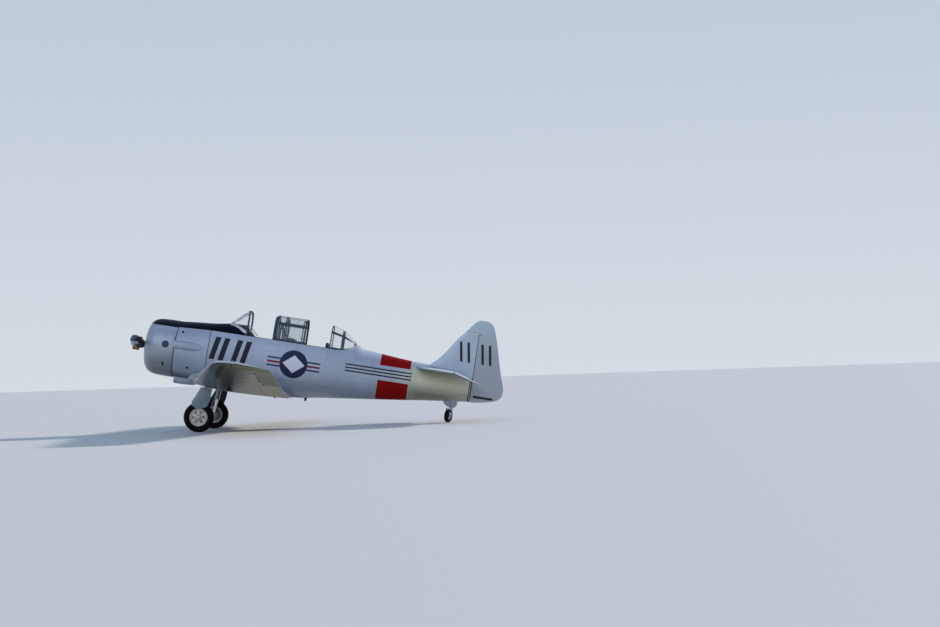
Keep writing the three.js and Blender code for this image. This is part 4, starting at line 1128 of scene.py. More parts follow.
def make_nose_skin():
    shape = Shape()
    shape.paint = 1
    step = [nose_ring(1130, out, share, at) for at, out, share in
            ((1062, -6, 0.86), (1090, -2, 0.93), (1112, -1, 0.97), (1126, -0.5, 0.995))]
    shape.loft([*step, nose_ring(1131)], caps=False)
    shape.paint = 0
    shape.loft([nose_ring(x) for x in [1131, *spread(1160, 1880, 18), FIREWALL_X - 1]], caps=False)
    piece("nose_skin", shape, [NOSE_SKIN, INNER], replaces=["nose_panels"])


def make_blister():
    """The long intake housing on the port side."""
    blister = Shape()
    outline_at = smooth([[1040, 0.93, 0.72], [1130, 1, 1], [1300, 1, 1.02], [1450, 1, 1],
                         [1600, 0.9, 0.86], [1700, 0.74, 0.7], [1780, 0.5, 0.42], [1838, 0.12, 0.1]])
    rings = []
    for x in [1062, 1090, 1120, 1160, *spread(1200, 1700, 12), 1740, 1775, 1800, 1820, 1833, 1838]:
        _, tall, deep = outline_at(x)
        inner = body_at(max(x, 1130))[3] - 40
        rings.append([(x, -inner - (80 * deep + 4) * bowed(c, 0.8), 105 + 103 * tall * bowed(s, 0.8))
                      for c, s in circle(40)])
    blister.loft(rings)
    piece("intake_blister", blister, BARE, angle=45)


scoop_at = smooth([[1150, 150, -794], [1330, 152, -796], [1500, 150, -790], [1640, 130, -770],
                   [1760, 86, -704]])


def scoop_ring(x, inset=0.0, at=None):
    """The cooler scoop's outline at x, open at the top, perhaps drawn at another x."""
    _, half, low = scoop_at(x)
    half, low = half - inset, low + inset
    at = x if at is None else at
    points = []
    for k in range(25):
        a = pi * k / 24
        points.append((at, half * bowed(cos(a), 0.55), -640 + (640 + low) * bowed(sin(a), 0.55)))
    return points + [(at, -half, -600), (at, half, -600)]


def make_scoop():
    scoop = Shape()
    xs = [1152, 1160, 1180, *spread(1220, 1720, 12), 1745, 1758]
    scoop.loft([scoop_ring(x) for x in xs], closed=False, caps=False)
    lip = [scoop_ring(1152), scoop_ring(1152, 4, 1147), scoop_ring(1152, 9)]
    scoop.loft(lip, closed=False, caps=False)
    scoop.paint = 1
    scoop.loft([scoop_ring(1152, 9, x) for x in (1152, 1300)], closed=False, caps=False)
    core = scoop_ring(1152, 9, 1298)
    scoop.add(core, [tuple(range(len(core)))])
    for y in range(-120, 121, 12):
        scoop.block((1285, y - 1, -770), (1297, y + 1, -640))
    piece("oil_cooler_shell", scoop, [BARE, BLACK_PAINT], replaces=["oil_cooler_scoop"], angle=40)


def make_exhaust():
    pipe = Shape()
    path = curve([(1172, 560, -285), (1280, 625, -305), (1460, 690, -330), (1700, 708, -340),
                  (1958, 705, -350)], 8)
    pipe.tube(path, 65, 32, caps=False)
    pipe.tube(path[12:], 60, 32, caps=False)
    pipe.lathe([[-14, 66], [-10, 68], [-2, 68], [0, 64], [0, 60], [-6, 59]], path[-1],
               path[-1] - path[-2], 32, caps=False)
    pipe.lathe([[-8, 66], [-8, 71], [8, 71], [8, 66]], path[14], path[15] - path[14], 32, caps=False)
    piece("exhaust_shell", pipe, BURNT, replaces=["exhaust_pipe"])


# Fuselage skin, cockpit and spine
def make_fuselage_skin():
    shape = Shape()
    xs = [FIREWALL_X + 0.5, *spread(1920, 2680, 20), 2700]
    shape.loft([nose_ring(x) for x in xs], caps=False)
    xs = [2700, *spread(2740, 3940, 24), 3970, 3985, *spread(4020, 4840, 18), 4860,
          *spread(4880, 5240, 16), 5262]
    rings = []
    for x in xs:
        top = hull_angle(x, table_line(SILL, x))
        rings.append([hull(x, a) for a in spread(top, -pi - top, 80)])
    shape.strip(rings)
    shape.loft([nose_ring(x) for x in [5262, 5280, SPLIT_X - 0.4]], caps=False)
    piece("fuselage_skin", shape, SKIN, replaces=["fuselage_centre"],
          hollow=True)
    mast = Shape()
    outline = [(4238, -660), (4312, -660), (4282, -752), (4246, -752)]
    mast.prism(as_ring(outline, -4), as_ring(outline, 4))
    piece("belly_antenna", mast, BLACK_PAINT, bevel=1.5)


def make_tail_cone():
    tail = Shape()
    rings = [nose_ring(x) for x in [SPLIT_X, *spread(5340, 7980, 46), 8010, 8024]]
    rings.append([(TAIL_X, y * 0.9, 135 + (z - 135) * 0.97) for _, y, z in nose_ring(TAIL_X)])
    tail.loft(rings, caps=False)
    tail.add(rings[-1], [tuple(range(AROUND))])
    piece("tail_cone_skin", tail, SKIN, replaces=["fuselage_aft"])


FILLET_END = 4420
FILLET_REACH = [(1720, 18), (2200, 42), (3000, 62), (3700, 95), (3985, 118), (4150, 90), (FILLET_END, 6)]


def fillet_root(x):
    """The height at which the wing's upper side, or the line that goes on behind it, meets the hull."""
    at = min(x, WING_BACK)
    y = 300.0
    for _ in range(30):
        y = mix(y, hull_width(x, wing_skin(at, y)[0]), 0.6)
    if x > WING_BACK:
        y = hull_width(x, wing_skin(at, y)[0])
    return wing_skin(at, y)[0] + max(0, x - WING_BACK) * 0.10


def make_wing_fillets():
    fillet = Shape()
    rows = []
    for x in spread(1730, FILLET_END, 54):
        reach, over = table_line(FILLET_REACH, x), fillet_root(x)
        upper = (x, hull_width(x, over + reach) + 1.0, over + reach)
        out = hull_width(x, over) + reach * table_line([(WING_BACK, 1), (FILLET_END, 0)], x)
        lower = (x, out, (wing_skin(x, out)[0] if x <= WING_BACK else over) + 1.0)
        corner = (x, hull_width(x, over) + 2, over + 2)
        rows.append([tuple((1 - t) ** 2 * a + 2 * t * (1 - t) * b + t ** 2 * c
                           for a, b, c in zip(upper, corner, lower)) for t in spread(0, 1, 10)])
    fillet.strip(rows)
    fillet.mirrored()
    piece("wing_fillets", fillet, BARE, angle=60)


def make_ledges():
    """The sill along the cockpits, with the two rails of the sliding canopy sections."""
    ledge = Shape()
    rows = []
    for x in [2700, *spread(2800, 4800, 20), 4860, 4920, 4990, 5000, 5001, 5060, 5121, 5170, 5215, 5240]:
        z = table_line(SILL, x)
        width = hull_width(x, z)
        inner = min(LEDGE_Y, width - 14) if x <= TUB_BACK else 2
        under = LEDGE_UNDER if x <= TUB_BACK else z - 6
        rows.append([(x, width - 1, z - 1), (x, width - 5, z + 2), (x, inner + 6, z + 2),
                     (x, inner, z - 3), (x, inner, under)])
    ledge.strip(rows)
    for y in (330, 352):
        ledge.block((2700, y, 556), (4840, y + 6, 566))
    ledge.mirrored()
    piece("cockpit_ledges", ledge, FRAME_GREY, angle=40)


def tub_width(x, z):
    """Half the tub's width at a height, a little inside the skin."""
    return min(390, hull_width(x, z, TUB_INSET))


def make_tub():
    """The cockpits' lining: a closed part under the windscreen's deck, then an open one."""
    tub = Shape()
    rows = []
    for x in [2450, 2560, 2699]:
        lower = [(x, tub_width(x, -300), -300), (x, tub_width(x, 0), 0),
                 (x, tub_width(x, 300), LEDGE_UNDER), (x, LEDGE_Y, LEDGE_UNDER)]
        roof = [(x, LEDGE_Y * cos(a),
                 mix(LEDGE_UNDER, body_at(x)[1] - TUB_INSET, sin(a) ** 0.6))
                for a in spread(0, pi / 2, 8)[1:]]
        half = lower + roof
        rows.append(half + [(x, -y, z) for x, y, z in reversed(half[:-1])])
    tub.loft(rows, caps=False)
    tub.add(rows[0], [tuple(range(len(rows[0])))])
    rows = []
    for x in [2699, 2900, 3200, 3600, 4000, 4400, 4700, TUB_BACK]:
        wide, sill = tub_width(x, -300), table_line(SILL, x)
        edge = min(LEDGE_Y, hull_width(x, sill) - 14)
        half = [(x, edge, sill - 3), (x, edge, LEDGE_UNDER), (x, tub_width(x, LEDGE_UNDER), LEDGE_UNDER),
                (x, tub_width(x, 0), 100), (x, wide, -120), (x, wide, -300)]
        rows.append(half + [(x, -y, z) for x, y, z in reversed(half)])
    tub.strip(rows)
    tub.add(rows[-1], [tuple(range(len(rows[-1])))])
    rim = []
    start = hull_angle(2700, 555)
    for a in spread(start, pi - start, 32):
        _, y, z = hull(2700, a)
        _, inner_y, inner_z = hull(2700, a, -TUB_INSET)
        rim.append([(2701, y, z), (2701, max(-LEDGE_Y, min(LEDGE_Y, inner_y)), max(inner_z, LEDGE_UNDER))])
    tub.strip(rim)
    piece("cockpit_tub", tub, COCKPIT_GREEN, angle=30)


# Wings
LOWER_END = 3464
AILERON = {"inner": 3560, "outer": 5690, "gap": 9}


def flap_recess(row):
    """The way back from the lower skin's end, round the flap's shallow bay, to the upper skin."""
    back = row[2]

    def low(x):
        return row_skin(row, x)[1]

    up = row_skin(row, back)[0]
    way = [(LOWER_END, low(LOWER_END) + 21), (3620, low(3620) + 20), (3780, low(3780) + 17),
           (3946, low(3946) + 13), (3946, low(3946)), (3966, low(3966))]
    return way + [(back, mix(low(back), up, t)) for t in (0.0, 0.3, 0.6)]


def recessed_section(row):
    return section(row, row[2], LOWER_END, flap_recess(row))


def plain_section(row, camber=0.02):
    """The whole aerofoil with a blunt trailing edge."""
    up, low = row_skin(row, row[2])
    blunt = [(row[2], mix(low, up, (k + 0.5) / 9)) for k in range(9)]
    return section(row, row[2], row[2], blunt, camber)


def cove_section(row, hinge_x, nose, camber=0.02):
    """The skins up to a hinge line, and the hollow arc between their ends."""
    radius = nose + 8
    up, low = row_skin(row, hinge_x, camber)
    centre = (up + low) / 2
    upper = lower = hinge_x
    for _ in range(8):
        rise = row_skin(row, upper, camber)[0] - centre
        fall = centre - row_skin(row, lower, camber)[1]
        upper = hinge_x - sqrt(max(16.0, radius ** 2 - min(rise, radius) ** 2))
        lower = hinge_x - sqrt(max(16.0, radius ** 2 - min(fall, radius) ** 2))
    a0 = atan2(row_skin(row, lower, camber)[1] - centre, lower - hinge_x) % (2 * pi)
    a1 = atan2(row_skin(row, upper, camber)[0] - centre, upper - hinge_x) % (2 * pi)
    arc = [(hinge_x + radius * cos(a), centre + radius * sin(a)) for a in spread(a0, a1, 10)[1:-1]]
    return section(row, upper, lower, arc, camber)


def surface_section(row, hinge_x, nose, camber=0.02):
    """The moving piece's outline: a round nose at the hinge line and the skins aft of it."""
    up, low = row_skin(row, hinge_x, camber)
    centre, half = (up + low) / 2, (up - low) / 2
    xs = [mix(hinge_x, row[2], sin(pi / 2 * t)) for t in spread(0, 1, 16)]
    upper = [(x, row_skin(row, x, camber)[0]) for x in reversed(xs)]
    lower = [(x, row_skin(row, x, camber)[1]) for x in xs]
    reach = min(nose, half)
    arc = [(hinge_x - reach * sin(a), centre + half * cos(a))
           for a in spread(0, pi, 14)[1:-1]]
    return upper + arc + lower


def half_thickness(row, x, camber=0.02):
    up, low = row_skin(row, x, camber)
    return (up - low) / 2


def aileron_nose(y):
    ends = [half_thickness(wing_row(AILERON[k]), HINGE["aileron"]) * 1.02 for k in ("inner", "outer")]
    return mix(*ends, (y - AILERON["inner"]) / (AILERON["outer"] - AILERON["inner"]))


def make_wing_skin(hand, side, paint):
    wing = Shape()
    inner, outer = AILERON["inner"], AILERON["outer"]

    def beside_aileron(y):
        return cove_section(outer_at(y), HINGE["aileron"], aileron_nose(y))

    zones = [
        ([1420.4, 1464], lambda y: plain_section(outer_at(y))),
        (spread(1464, 3486, 12), lambda y: recessed_section(outer_at(y))),
        ([3486, inner], lambda y: plain_section(outer_at(y))),
        (spread(inner, outer, 14), beside_aileron),
        ([outer, 5700, 5780, 5870, 5950, 6030, 6100, 6160, 6215, 6260, 6295, 6325, 6350, 6370, 6385,
          6395, 6401, 6404.5], lambda y: plain_section(outer_at(y))),
    ]
    for places, outline in zones:
        wing.loft([as_ring(outline(y), y * side) for y in places])
    piece(f"wing_skin_{hand}", wing, paint, replaces=[f"wing_{hand}"], angle=30)


def make_aileron(hand, side):
    aileron = Shape()
    aileron.loft([as_ring(surface_section(outer_at(y), HINGE["aileron"], aileron_nose(y)), y * side)
                  for y in spread(AILERON["inner"] + AILERON["gap"], AILERON["outer"] - AILERON["gap"], 16)])
    piece(f"aileron_skin_{hand}", aileron, AILERON_FABRIC, body=f"aileron_{hand}",
          replaces=[f"aileron_{hand}"], angle=40)
    fittings = Shape()
    for y in (4300, 4760):
        up, low = row_skin(outer_at(y), 3900)
        fittings.block((3890, y * side - 1, low - 3), (3984, y * side + 1, up + 2.5))
    arm_y = 4700 * side
    low = row_skin(outer_at(4700), 3660)[1]
    fittings.tube([(3655, arm_y, low + 6), (3668, arm_y, low - 34), (3690, arm_y, low - 52)], 7, 8)
    piece(f"aileron_fittings_{hand}", fittings, BARE, body=f"aileron_{hand}")


def flap_ring(row, y):
    """A split flap's outline: the wing's lower skin, and the flap's inner face above it."""
    below = [(x, row_skin(row, x)[1]) for x in spread(3470, 3940, 10)]
    above = [(x, z + mix(14, 7, k / 10)) for k, (x, z) in enumerate(below)]
    return as_ring(below + above[::-1], y)


def make_flap(name, rings):
    flap = Shape()
    flap.loft(rings)
    piece(f"flap_skin_{name}", flap, FLAP_SKIN, body=f"flap_{name}", replaces=[f"flap_{name}"], angle=40)


def make_landing_light(hand, side):
    lens_shape, reach = Shape(), 9
    rows = []
    for y in spread(2120, 2380, 8):
        row = outer_at(y)
        line = []
        for k in range(-reach, reach + 1):
            share = (k / reach) ** 2
            x = row[1] + share * 105
            up, low = row_skin(row, x)
            line.append((x - 2.2 * (1 - share) - 1.0, y * side, up + 0.9 if k > 0 else low - 0.9))
        rows.append(line)
    lens_shape.strip(rows)
    piece(f"landing_light_lens_{hand}", lens_shape, LENS_GROUND_REFLECTION, angle=60)


def make_wing_brackets(hand, side):
    """The two hinge arms under each aileron and the tie-down ring."""
    arms = Shape()
    for y in (3985, 5250):
        low = row_skin(outer_at(y), 3560)[1]
        arms.loft([[(x, y * side + across, low + up)
                    for across, up in ((-half, top), (half, top), (half, bottom), (-half, bottom))]
                   for x, half, top, bottom in ((3420, 5, 10, -2), (3560, 7, 8, -26), (3618, 6, 20, -22))])
    low = row_skin(outer_at(3300), 2600)[1]
    arms.lathe([[-3, 14], [3, 14]], (2600, 3300 * side, low - 12), (0, side, 0), 20)
    piece(f"wing_brackets_{hand}", arms, BARE, bevel=1.5)


def make_tip_lights(hand, side):
    lamp = Shape()
    up, low = row_skin(outer_at(6240), 3200)
    for z, way in ((up + 0.5, 1), (low - 0.5, -1)):
        lamp.lathe([[0, 24], [5, 24], [11, 21], [17, 15], [21, 7], [22, 0]], (3200, 6240 * side, z),
                   (0, 0, way), 20)
    piece(f"navigation_light_{hand}", lamp, LAMP_RED if side < 0 else LAMP_GREEN)


def make_walkway(hand, side):
    walk = Shape()
    walk.strip([[(x, y * side, wing_skin(x, y)[0] + 1.2) for y in spread(660, 1060, 12)]
                for x in spread(2120, 3700, 30)])
    piece(f"walkway_{hand}", walk, WALKWAY, angle=60)


def make_pitot():
    pitot = Shape()
    _, x, _, front_z, _, _ = outer_at(5000)
    z = front_z - 8
    pitot.tube([(x + 60, 5000, z), (x - 60, 5000, z - 30), (x - 150, 5000, z - 38), (x - 330, 5000, z - 38)],
               [16, 13, 12, 9], 16)
    piece("pitot_head", pitot, STEEL)


def make_outer_wings():
    for (hand, side), paint in zip(SIDES, (WING_LEFT, WING_RIGHT)):
        make_wing_skin(hand, side, paint)
        make_aileron(hand, side)
        make_flap(hand, [flap_ring(outer_at(y), y * side) for y in spread(1470, 3480, 12)])
        make_landing_light(hand, side)
        make_wing_brackets(hand, side)
        make_tip_lights(hand, side)
        make_walkway(hand, side)
    make_pitot()


WHEEL_BAY = (2062, 545)


def make_wing_centre():
    """The centre section with the wheel bays and the slots of the gear legs cut out of it."""
    ends = Shape()
    for side in (-1, 1):
        ends.loft([as_ring(plain_section(centre_at(y)), y * side) for y in (1336, 1364, 1392, 1420)])
    piece("wing_centre_ends", ends, WING_MIDDLE, replaces=["wing_centre"],
          angle=30)
    centre = Shape()
    centre.loft([as_ring(recessed_section(centre_at(abs(y))), y) for y in spread(-1336, 1336, 40)])
    body = piece("wing_centre_skin", centre, [WING_MIDDLE, INNER], replaces=["wing_centre"], angle=30)
    cutter = Shape()
    cutter.paint = 1
    for side in (-1, 1):
        cutter.lathe([[0, 0], [0, 370], [395, 370], [398, 366], [398, 0]],
                     (WHEEL_BAY[0], WHEEL_BAY[1] * side, -900), UP, 72)
        slot_y = sorted((800 * side, 1215 * side))
        cutter.block((1952, slot_y[0], -900), (2212, slot_y[1], -567))
    carve(body, cutter)
    make_flap("centre", [flap_ring(centre_at(1330), y) for y in spread(-1330, 1330, 16)])
    horn = Shape()
    outline = [(3520, -716), (3610, -716), (3590, -752), (3545, -796), (3528, -790)]
    horn.prism(as_ring(outline, -5), as_ring(outline, 5))
    piece("flap_horn", horn, BLACK_PAINT, body="flap_centre", bevel=1.5)


def make_wing_joints():
    """A raised band round each joint of the wing, and the ribs in the wheel bays."""
    strap = Shape()
    for side in (-1, 1):
        rings = []
        for y in (1412, 1428):
            ring = []
            for k, (x, z) in enumerate(plain_section(wing_row(y))):
                out = 4 if k > 50 else -4 if 20 < k < 32 else 0
                ring.append((x + out, y * side, z + (4 if k <= 26 else -4)))
            rings.append(ring)
        strap.loft(rings)
    piece("wing_joint_straps", strap, BARE, angle=50)
    lining = Shape()
    for side in (-1, 1):
        top = Vector((WHEEL_BAY[0], WHEEL_BAY[1] * side, -506))
        for x, y in circle(8, degrees(0.2), 362):
            foot = top + Vector((x, y, -54))
            lining.tube([foot, mix(foot, top, 0.5) + Vector((0, 0, 14)), top], 7, 6)
    piece("wheel_bay_ribs", lining, COCKPIT_GREEN)


def carve(thing, cutter):
    """Cuts a shape out of a piece for good."""
    tool = placed("cutter", mesh_of("cutter", cutter, thing.data.materials))
    tool.matrix_world = thing.matrix_world @ LEAN
    cut = thing.modifiers.new("cut", "BOOLEAN")
    cut.operation = "DIFFERENCE"
    cut.solver = "EXACT"
    cut.use_self = True
    cut.object = tool
    applied(thing)
    bpy.data.objects.remove(tool)


# Tail
# the same columns, with height for the place along the fin's span
STAB_ROWS = [
    [100, 6755, 8365, 430, 430, 0.065],
    [550, 6872.5, 8360, 430, 430, 0.065],
    [1000, 6990, 8355, 430, 430, 0.065],
    [1600, 7160, 8275, 430, 430, 0.063],
    [1800, 7245, 8180, 430, 430, 0.058],
    [1920, 7350, 8035, 430, 430, 0.048],
    [1970, 7450, 7910, 430, 430, 0.038],
    [1985, 7530, 7790, 430, 430, 0.03],
]
FIN_ROWS = [
    [-187, 7040, 8180, 0, 0, 0.045],
    [-150, 7040, 8400, 0, 0, 0.045],
    [-85, 7040, 8670, 0, 0, 0.05],
    [0, 7040, 8798, 0, 0, 0.055],
    [110, 7040, 8844, 0, 0, 0.058],
    [220, 7040, 8840, 0, 0, 0.06],
    [400, 7040, 8787, 0, 0, 0.062],
    [520, 7045, 8748, 0, 0, 0.064],
    [700, 7215, 8692, 0, 0, 0.064],
    [920, 7390, 8634, 0, 0, 0.064],
    [1240, 7602, 8548, 0, 0, 0.064],
    [1420, 7752, 8492, 0, 0, 0.062],
    [1560, 7862, 8446, 0, 0, 0.06],
    [1660, 7940, 8400, 0, 0, 0.056],
    [1725, 8010, 8325, 0, 0, 0.05],
    [1760, 8080, 8235, 0, 0, 0.04],
]
HORN_Z, FIN_BACK = 1420, 8080
STAB_TIP = [1680, 1750, 1810, 1860, 1900, 1930, 1952, 1968, 1978, 1984]
stab_at, fin_at = smooth(STAB_ROWS), smooth(FIN_ROWS)


def stab_nose(y):
    """The radius of the elevator's nose."""
    return mix(42, 27, (y - 100) / 1950)


def fin_nose(z):
    """The radius of the rudder's nose."""
    return mix(40, 20, (z + 187) / (HORN_Z - 4 + 187))


def elevator_edge(x):
    """How far out the elevator's inner end lies, cut away for the rudder."""
    return table_line([(7560, 175), (7960, 185), (8400, 372)], x)


def elevator_ring(y, side):
    ring = []
    for x, z in surface_section(stab_at(y), HINGE["elevator"], stab_nose(y), 0):
        at = max(y, elevator_edge(x))
        if at > y:
            up, low = row_skin(stab_at(at), x, 0)
            z = up if z > STAB_Z else low
        ring.append((x, at * side, z))
    return ring


def make_tailplane():
    hinge = HINGE["elevator"]
    for hand, side in SIDES:
        stab = Shape()
        stab.loft([as_ring(cove_section(stab_at(y), hinge, stab_nose(y), 0), y * side)
                   for y in [100, *spread(250, 1600, 12), *STAB_TIP]])
        piece(f"stabilizer_skin_{hand}", stab, BARE_TAIL, replaces=[f"stabilizer_{hand}"], angle=30)
    elevator = Shape()
    for side in (-1, 1):
        elevator.loft([elevator_ring(y, side) for y in [175, 182, 188, 200, 225, 255, 285, 310, 330,
                                                        *spread(420, 1600, 12), *STAB_TIP]])
    elevator.tube([(hinge, -178, STAB_Z), (hinge, 178, STAB_Z)], 20, 20)
    piece("elevator_skin", elevator, ELEVATOR_FABRIC, body="elevator", replaces=["elevator"], angle=40)
    tabs = Shape()
    for side in (-1, 1):
        for y in (700, 1180):
            up, low = row_skin(stab_at(y), 8245, 0)
            tabs.block((8240, y * side - 1, low - 3), (8340, y * side + 1, up + 3))
        inner, outer = sorted((700 * side, 1180 * side))
        tabs.block((8239, inner, 415), (8242, outer, 445))
        tabs.tube([(x, 940 * side, z) for x, z in ((8165, 446), (8205, 462), (8255, 462), (8275, 440))], 4, 8)
    piece("elevator_tabs", tabs, BARE, body="elevator")


def upright(points, z):
    """An outline of the fin or rudder, laid flat at a height."""
    return [(x, y, z) for x, y in points]


def fin_ring(z):
    row = fin_at(z)
    wide, inside = half_thickness(row, FIN_BACK, 0) - 4, FIN_BACK - 20
    closure = [(8074, -wide), *[(inside, y) for y in spread(-wide, wide, 8)], (8074, wide)]
    return upright(section(row, FIN_BACK, FIN_BACK, closure, 0), z)


def rudder_outline(z):
    return surface_section(fin_at(z), HINGE["rudder"], fin_nose(z), 0)


def make_fin_and_rudder():
    fin = Shape()
    fin.loft([fin_ring(z) for z in [380, *spread(420, 1380, 24), 1414]])
    piece("fin_skin", fin, BARE_TAIL, replaces=["fin"], angle=30)
    rudder = Shape()
    rudder.loft([upright(rudder_outline(z), z) for z in [-187, -183, -175, -162, -145, -120, -85, -45, 0,
                                                         50, *spread(110, 1380, 26), 1408, 1420.5]])
    rudder.loft([upright(plain_section(fin_at(z), 0), z) for z in [HORN_Z, 1470, 1520, 1560, 1600, 1640, 1670,
                                                                   1695, 1715, 1732, 1745, 1754, 1760]])
    piece("rudder_skin", rudder, RUDDER_FABRIC, body="rudder", replaces=["rudder"], angle=40)
    # The stern post is dark metal, as painted shade in the slit between the tail cone and the rudder.
    post, rings = Shape(), []
    for z in spread(-184, 376, 20):
        end, wide = min(x for x, _ in rudder_outline(z)) - 7, max(hull_width(8030, z) - 1, 4)
        rings.append([(8030, -wide, z), (end, -wide * 0.96, z), (end, wide * 0.96, z), (8030, wide, z)])
    post.loft(rings)
    piece("stern_post", post, INNER)


def make_rudder_details():
    lamp = Shape()
    lamp.lathe([[0, 13], [10, 13], [22, 11], [32, 6], [35, 0]], (8836, 0, 184), AFT, 20)
    piece("tail_lamp", lamp, LAMP_CLEAR, body="rudder")
    horn = Shape()
    for side in (-1, 1):
        horn.tube([(8100, 18 * side, -60), (8100, 95 * side, -60)], 9, 12)
        horn.tube([(8100, 92 * side, -60), (8020, 88 * side, -58), (7900, 70 * side, -50),
                   (7760, 50 * side, -40)], 3.5, 8)
    horn.block((8498, -1.5, 150), (8500, 1.5, 620))
    piece("rudder_horn", horn, STEEL, body="rudder")


def make_stabilizer_fillets():
    root = Shape()
    for side in (-1, 1):
        rows = []
        for x in spread(6740, 7610, 30):
            up = row_skin(stab_at(100), x, 0)[0]
            edge = hull_width(x, up)
            rows.append([(x, (hull_width(x, up + 26) + 0.5) * side, up + 26), (x, (edge + 6) * side, up + 9),
                         (x, (edge + 34) * side, up + 1.2)])
        root.strip(rows)
    piece("stabilizer_fillets", root, BARE, angle=60)


# Canopy
HOOP = [(345, 555.4), (348, 740), (326, 955), (258, 1052), (140, 1106), (0, 1122)]
HOOP_RUN = [Vector((y, z)) for y, z in HOOP] + [Vector((-y, z)) for y, z in reversed(HOOP[:-1])]
SILL_TOP = 556


def on_run(run, u):
    """A smooth point and its outward normal, u counted along the points of a run."""
    point, way = run_point(run, u)
    way = way.normalized()
    return point, Vector((way.y, -way.x))


def hoop_point(x, u, out):
    """A place on the sliding sections, u round the hoop and out from its surface."""
    point, normal = on_run(HOOP_RUN, u)
    y, z = point + normal * out
    return (x, y, max(z, SILL_TOP))


def hoop_u(z):
    """Where the hoop passes a height, on its first side."""
    return next(k / 50 for k in range(0, 251) if on_run(HOOP_RUN, k / 50)[0].y >= z)


def both_sides(u0, u1):
    """The same stretch of the hoop on both of its sides."""
    return ((u0, u1), (10 - u1, 10 - u0))


SIDE_TOP, ROOF_EDGE, ROOF_BAR = hoop_u(930), hoop_u(985), 4.84
UPPER_BARS = (*both_sides(SIDE_TOP, ROOF_EDGE), (ROOF_BAR, 10 - ROOF_BAR))
# name, front, back, distance outwards, places of more hoops, body
SECTIONS = [
    ("centre", 3340, 4052, 0, (), "airframe"),
    ("front", 3365, 4072, 18, (3560,), "canopy_front"),
    ("rear", 3312, 4006, -18, (3590,), "canopy_rear"),
]
# the grips' place across, and how far they stand out from it
GRIPS = {"front": (373, 24), "rear": (324, -30)}


def frame_bar(shape, place, s_range, u_range, base, deep=8):
    """A flat bar that follows a canopy's surface."""
    steps = max(1, int((u_range[1] - u_range[0]) * 7))
    length = max(1, int(abs(s_range[1] - s_range[0]) / 90))
    shape.slab(place, s_range, u_range, base + 4, base + 4 + deep, length, steps)


def make_panes(name, place, xs, steps, body="airframe"):
    panes = Shape()
    for a, b in xs:
        panes.strip([[place(x, u, 2) for u in spread(0.02, 9.98, steps)] for x in (a, b)])
    piece(f"{name}_panes", panes, GLASS, body=body, replaces=[f"{name}_glass"], angle=60)


def make_grips(name, x, body):
    grip = Shape()
    rail, reach = GRIPS[name]
    for side in (-1, 1):
        near_y, far_y = side * rail, side * (rail + reach)
        grip.tube(curve([(x - 45, near_y, 690), (x - 45, far_y, 690), (x + 45, far_y, 690),
                         (x + 45, near_y, 690)], 5), 6, 10)
    piece(f"canopy_{name}_grips", grip, STEEL, body=body)


def make_canopy_sections():
    for name, x0, x1, base, arches, body in SECTIONS:
        bars = Shape()
        for x in (x0, *arches, x1 - 26):
            frame_bar(bars, hoop_point, (x, x + 26), (0, 10), base)
            bars.slab(hoop_point, (x + 9, x + 17), (0.1, 9.9), base + 12, base + 14, 1, 60)
        for u_range in (*both_sides(0, hoop_u(606)), *UPPER_BARS):
            frame_bar(bars, hoop_point, (x0, x1), u_range, base)
        for x in (x0 + 40, x1 - 40):
            bars.studs([[-12, 9], [12, 9], [12, 3]], [(x, side * (347 + base), 566) for side in (-1, 1)],
                       ACROSS, 12)
        piece(f"canopy_{name}_bars", bars, FRAME_GREY, body=body, replaces=[f"canopy_{name}_frame"],
              angle=40)
        edges = [x0 + 2, *(x + 13 for x in arches), x1 - 2]
        make_panes(f"canopy_{name}", lambda x, u, out: hoop_point(x, u, base + out),
                   zip(edges, edges[1:]), 90, body)
        if name in GRIPS:
            make_grips(name, x1 - 60 if name == "front" else x0 + 60, body)


# x, top, width by the hoop's, lowest height
AFT_ROWS = [
    [4655, 1102, 1, 555], [4800, 1062, 0.965, 556], [4945, 1010, 0.9, 560], [5075, 925, 0.78, 595],
    [5175, 845, 0.62, 645], [5225, 805, 0.46, 690], [5262, 772, 0.3, 725],
]
aft_row = smooth(AFT_ROWS)


def aft_point(x, u, out):
    """A place on the fixed aft section."""
    _, top, share, low = aft_row(x)
    point, normal = on_run(HOOP_RUN, u)
    y, z = point + normal * out
    up = (z - HOOP[0][1]) / (HOOP[-1][1] - HOOP[0][1])
    return (x, y * share, max(low + up * (top - low), table_line(SILL, x) + 1))


SCREEN_FRONT = [(185, 700), (179, 740), (169, 780), (165, 792), (82.5, 796), (0, 798)]
FRONT_RUN = [Vector(p) for p in SCREEN_FRONT] + [Vector((-y, z)) for y, z in reversed(SCREEN_FRONT[:-1])]
screen_share = smooth([[2300, 0], [2480, 0.52], [2672, 1], [2700, 1.0], [2735, 1]])


def over_screen(x, u, out):
    """A place on the windscreen's surface and the height of the deck under it."""
    share = min(1, screen_share(x)[1])
    a, n0 = on_run(FRONT_RUN, u)
    b, n1 = on_run(HOOP_RUN, u)
    y, z = mix(a, b + n1 * 20, share) + mix(n0, n1, share).normalized() * out
    deck = 0.0
    if x < 2700:
        _, crown, _, width, middle, above, _ = body_at(x)
        deck = middle + (1 - min(1, abs(y) / width) ** above) ** (1 / above) * (crown - middle)
    return y, z, deck


def screen_point(x, u, out):
    y, z, deck = over_screen(x, u, out)
    return (x - out * 0.8, y, max(z, deck - 4, SILL_TOP))


def screen_foot(x):
    """How far round the windscreen leaves the deck at a place along it."""
    for k in range(250):
        _, z, deck = over_screen(x, k / 50, 0)
        if z > max(deck + 2, SILL_TOP + 1):
            return k / 50
    return 5.0


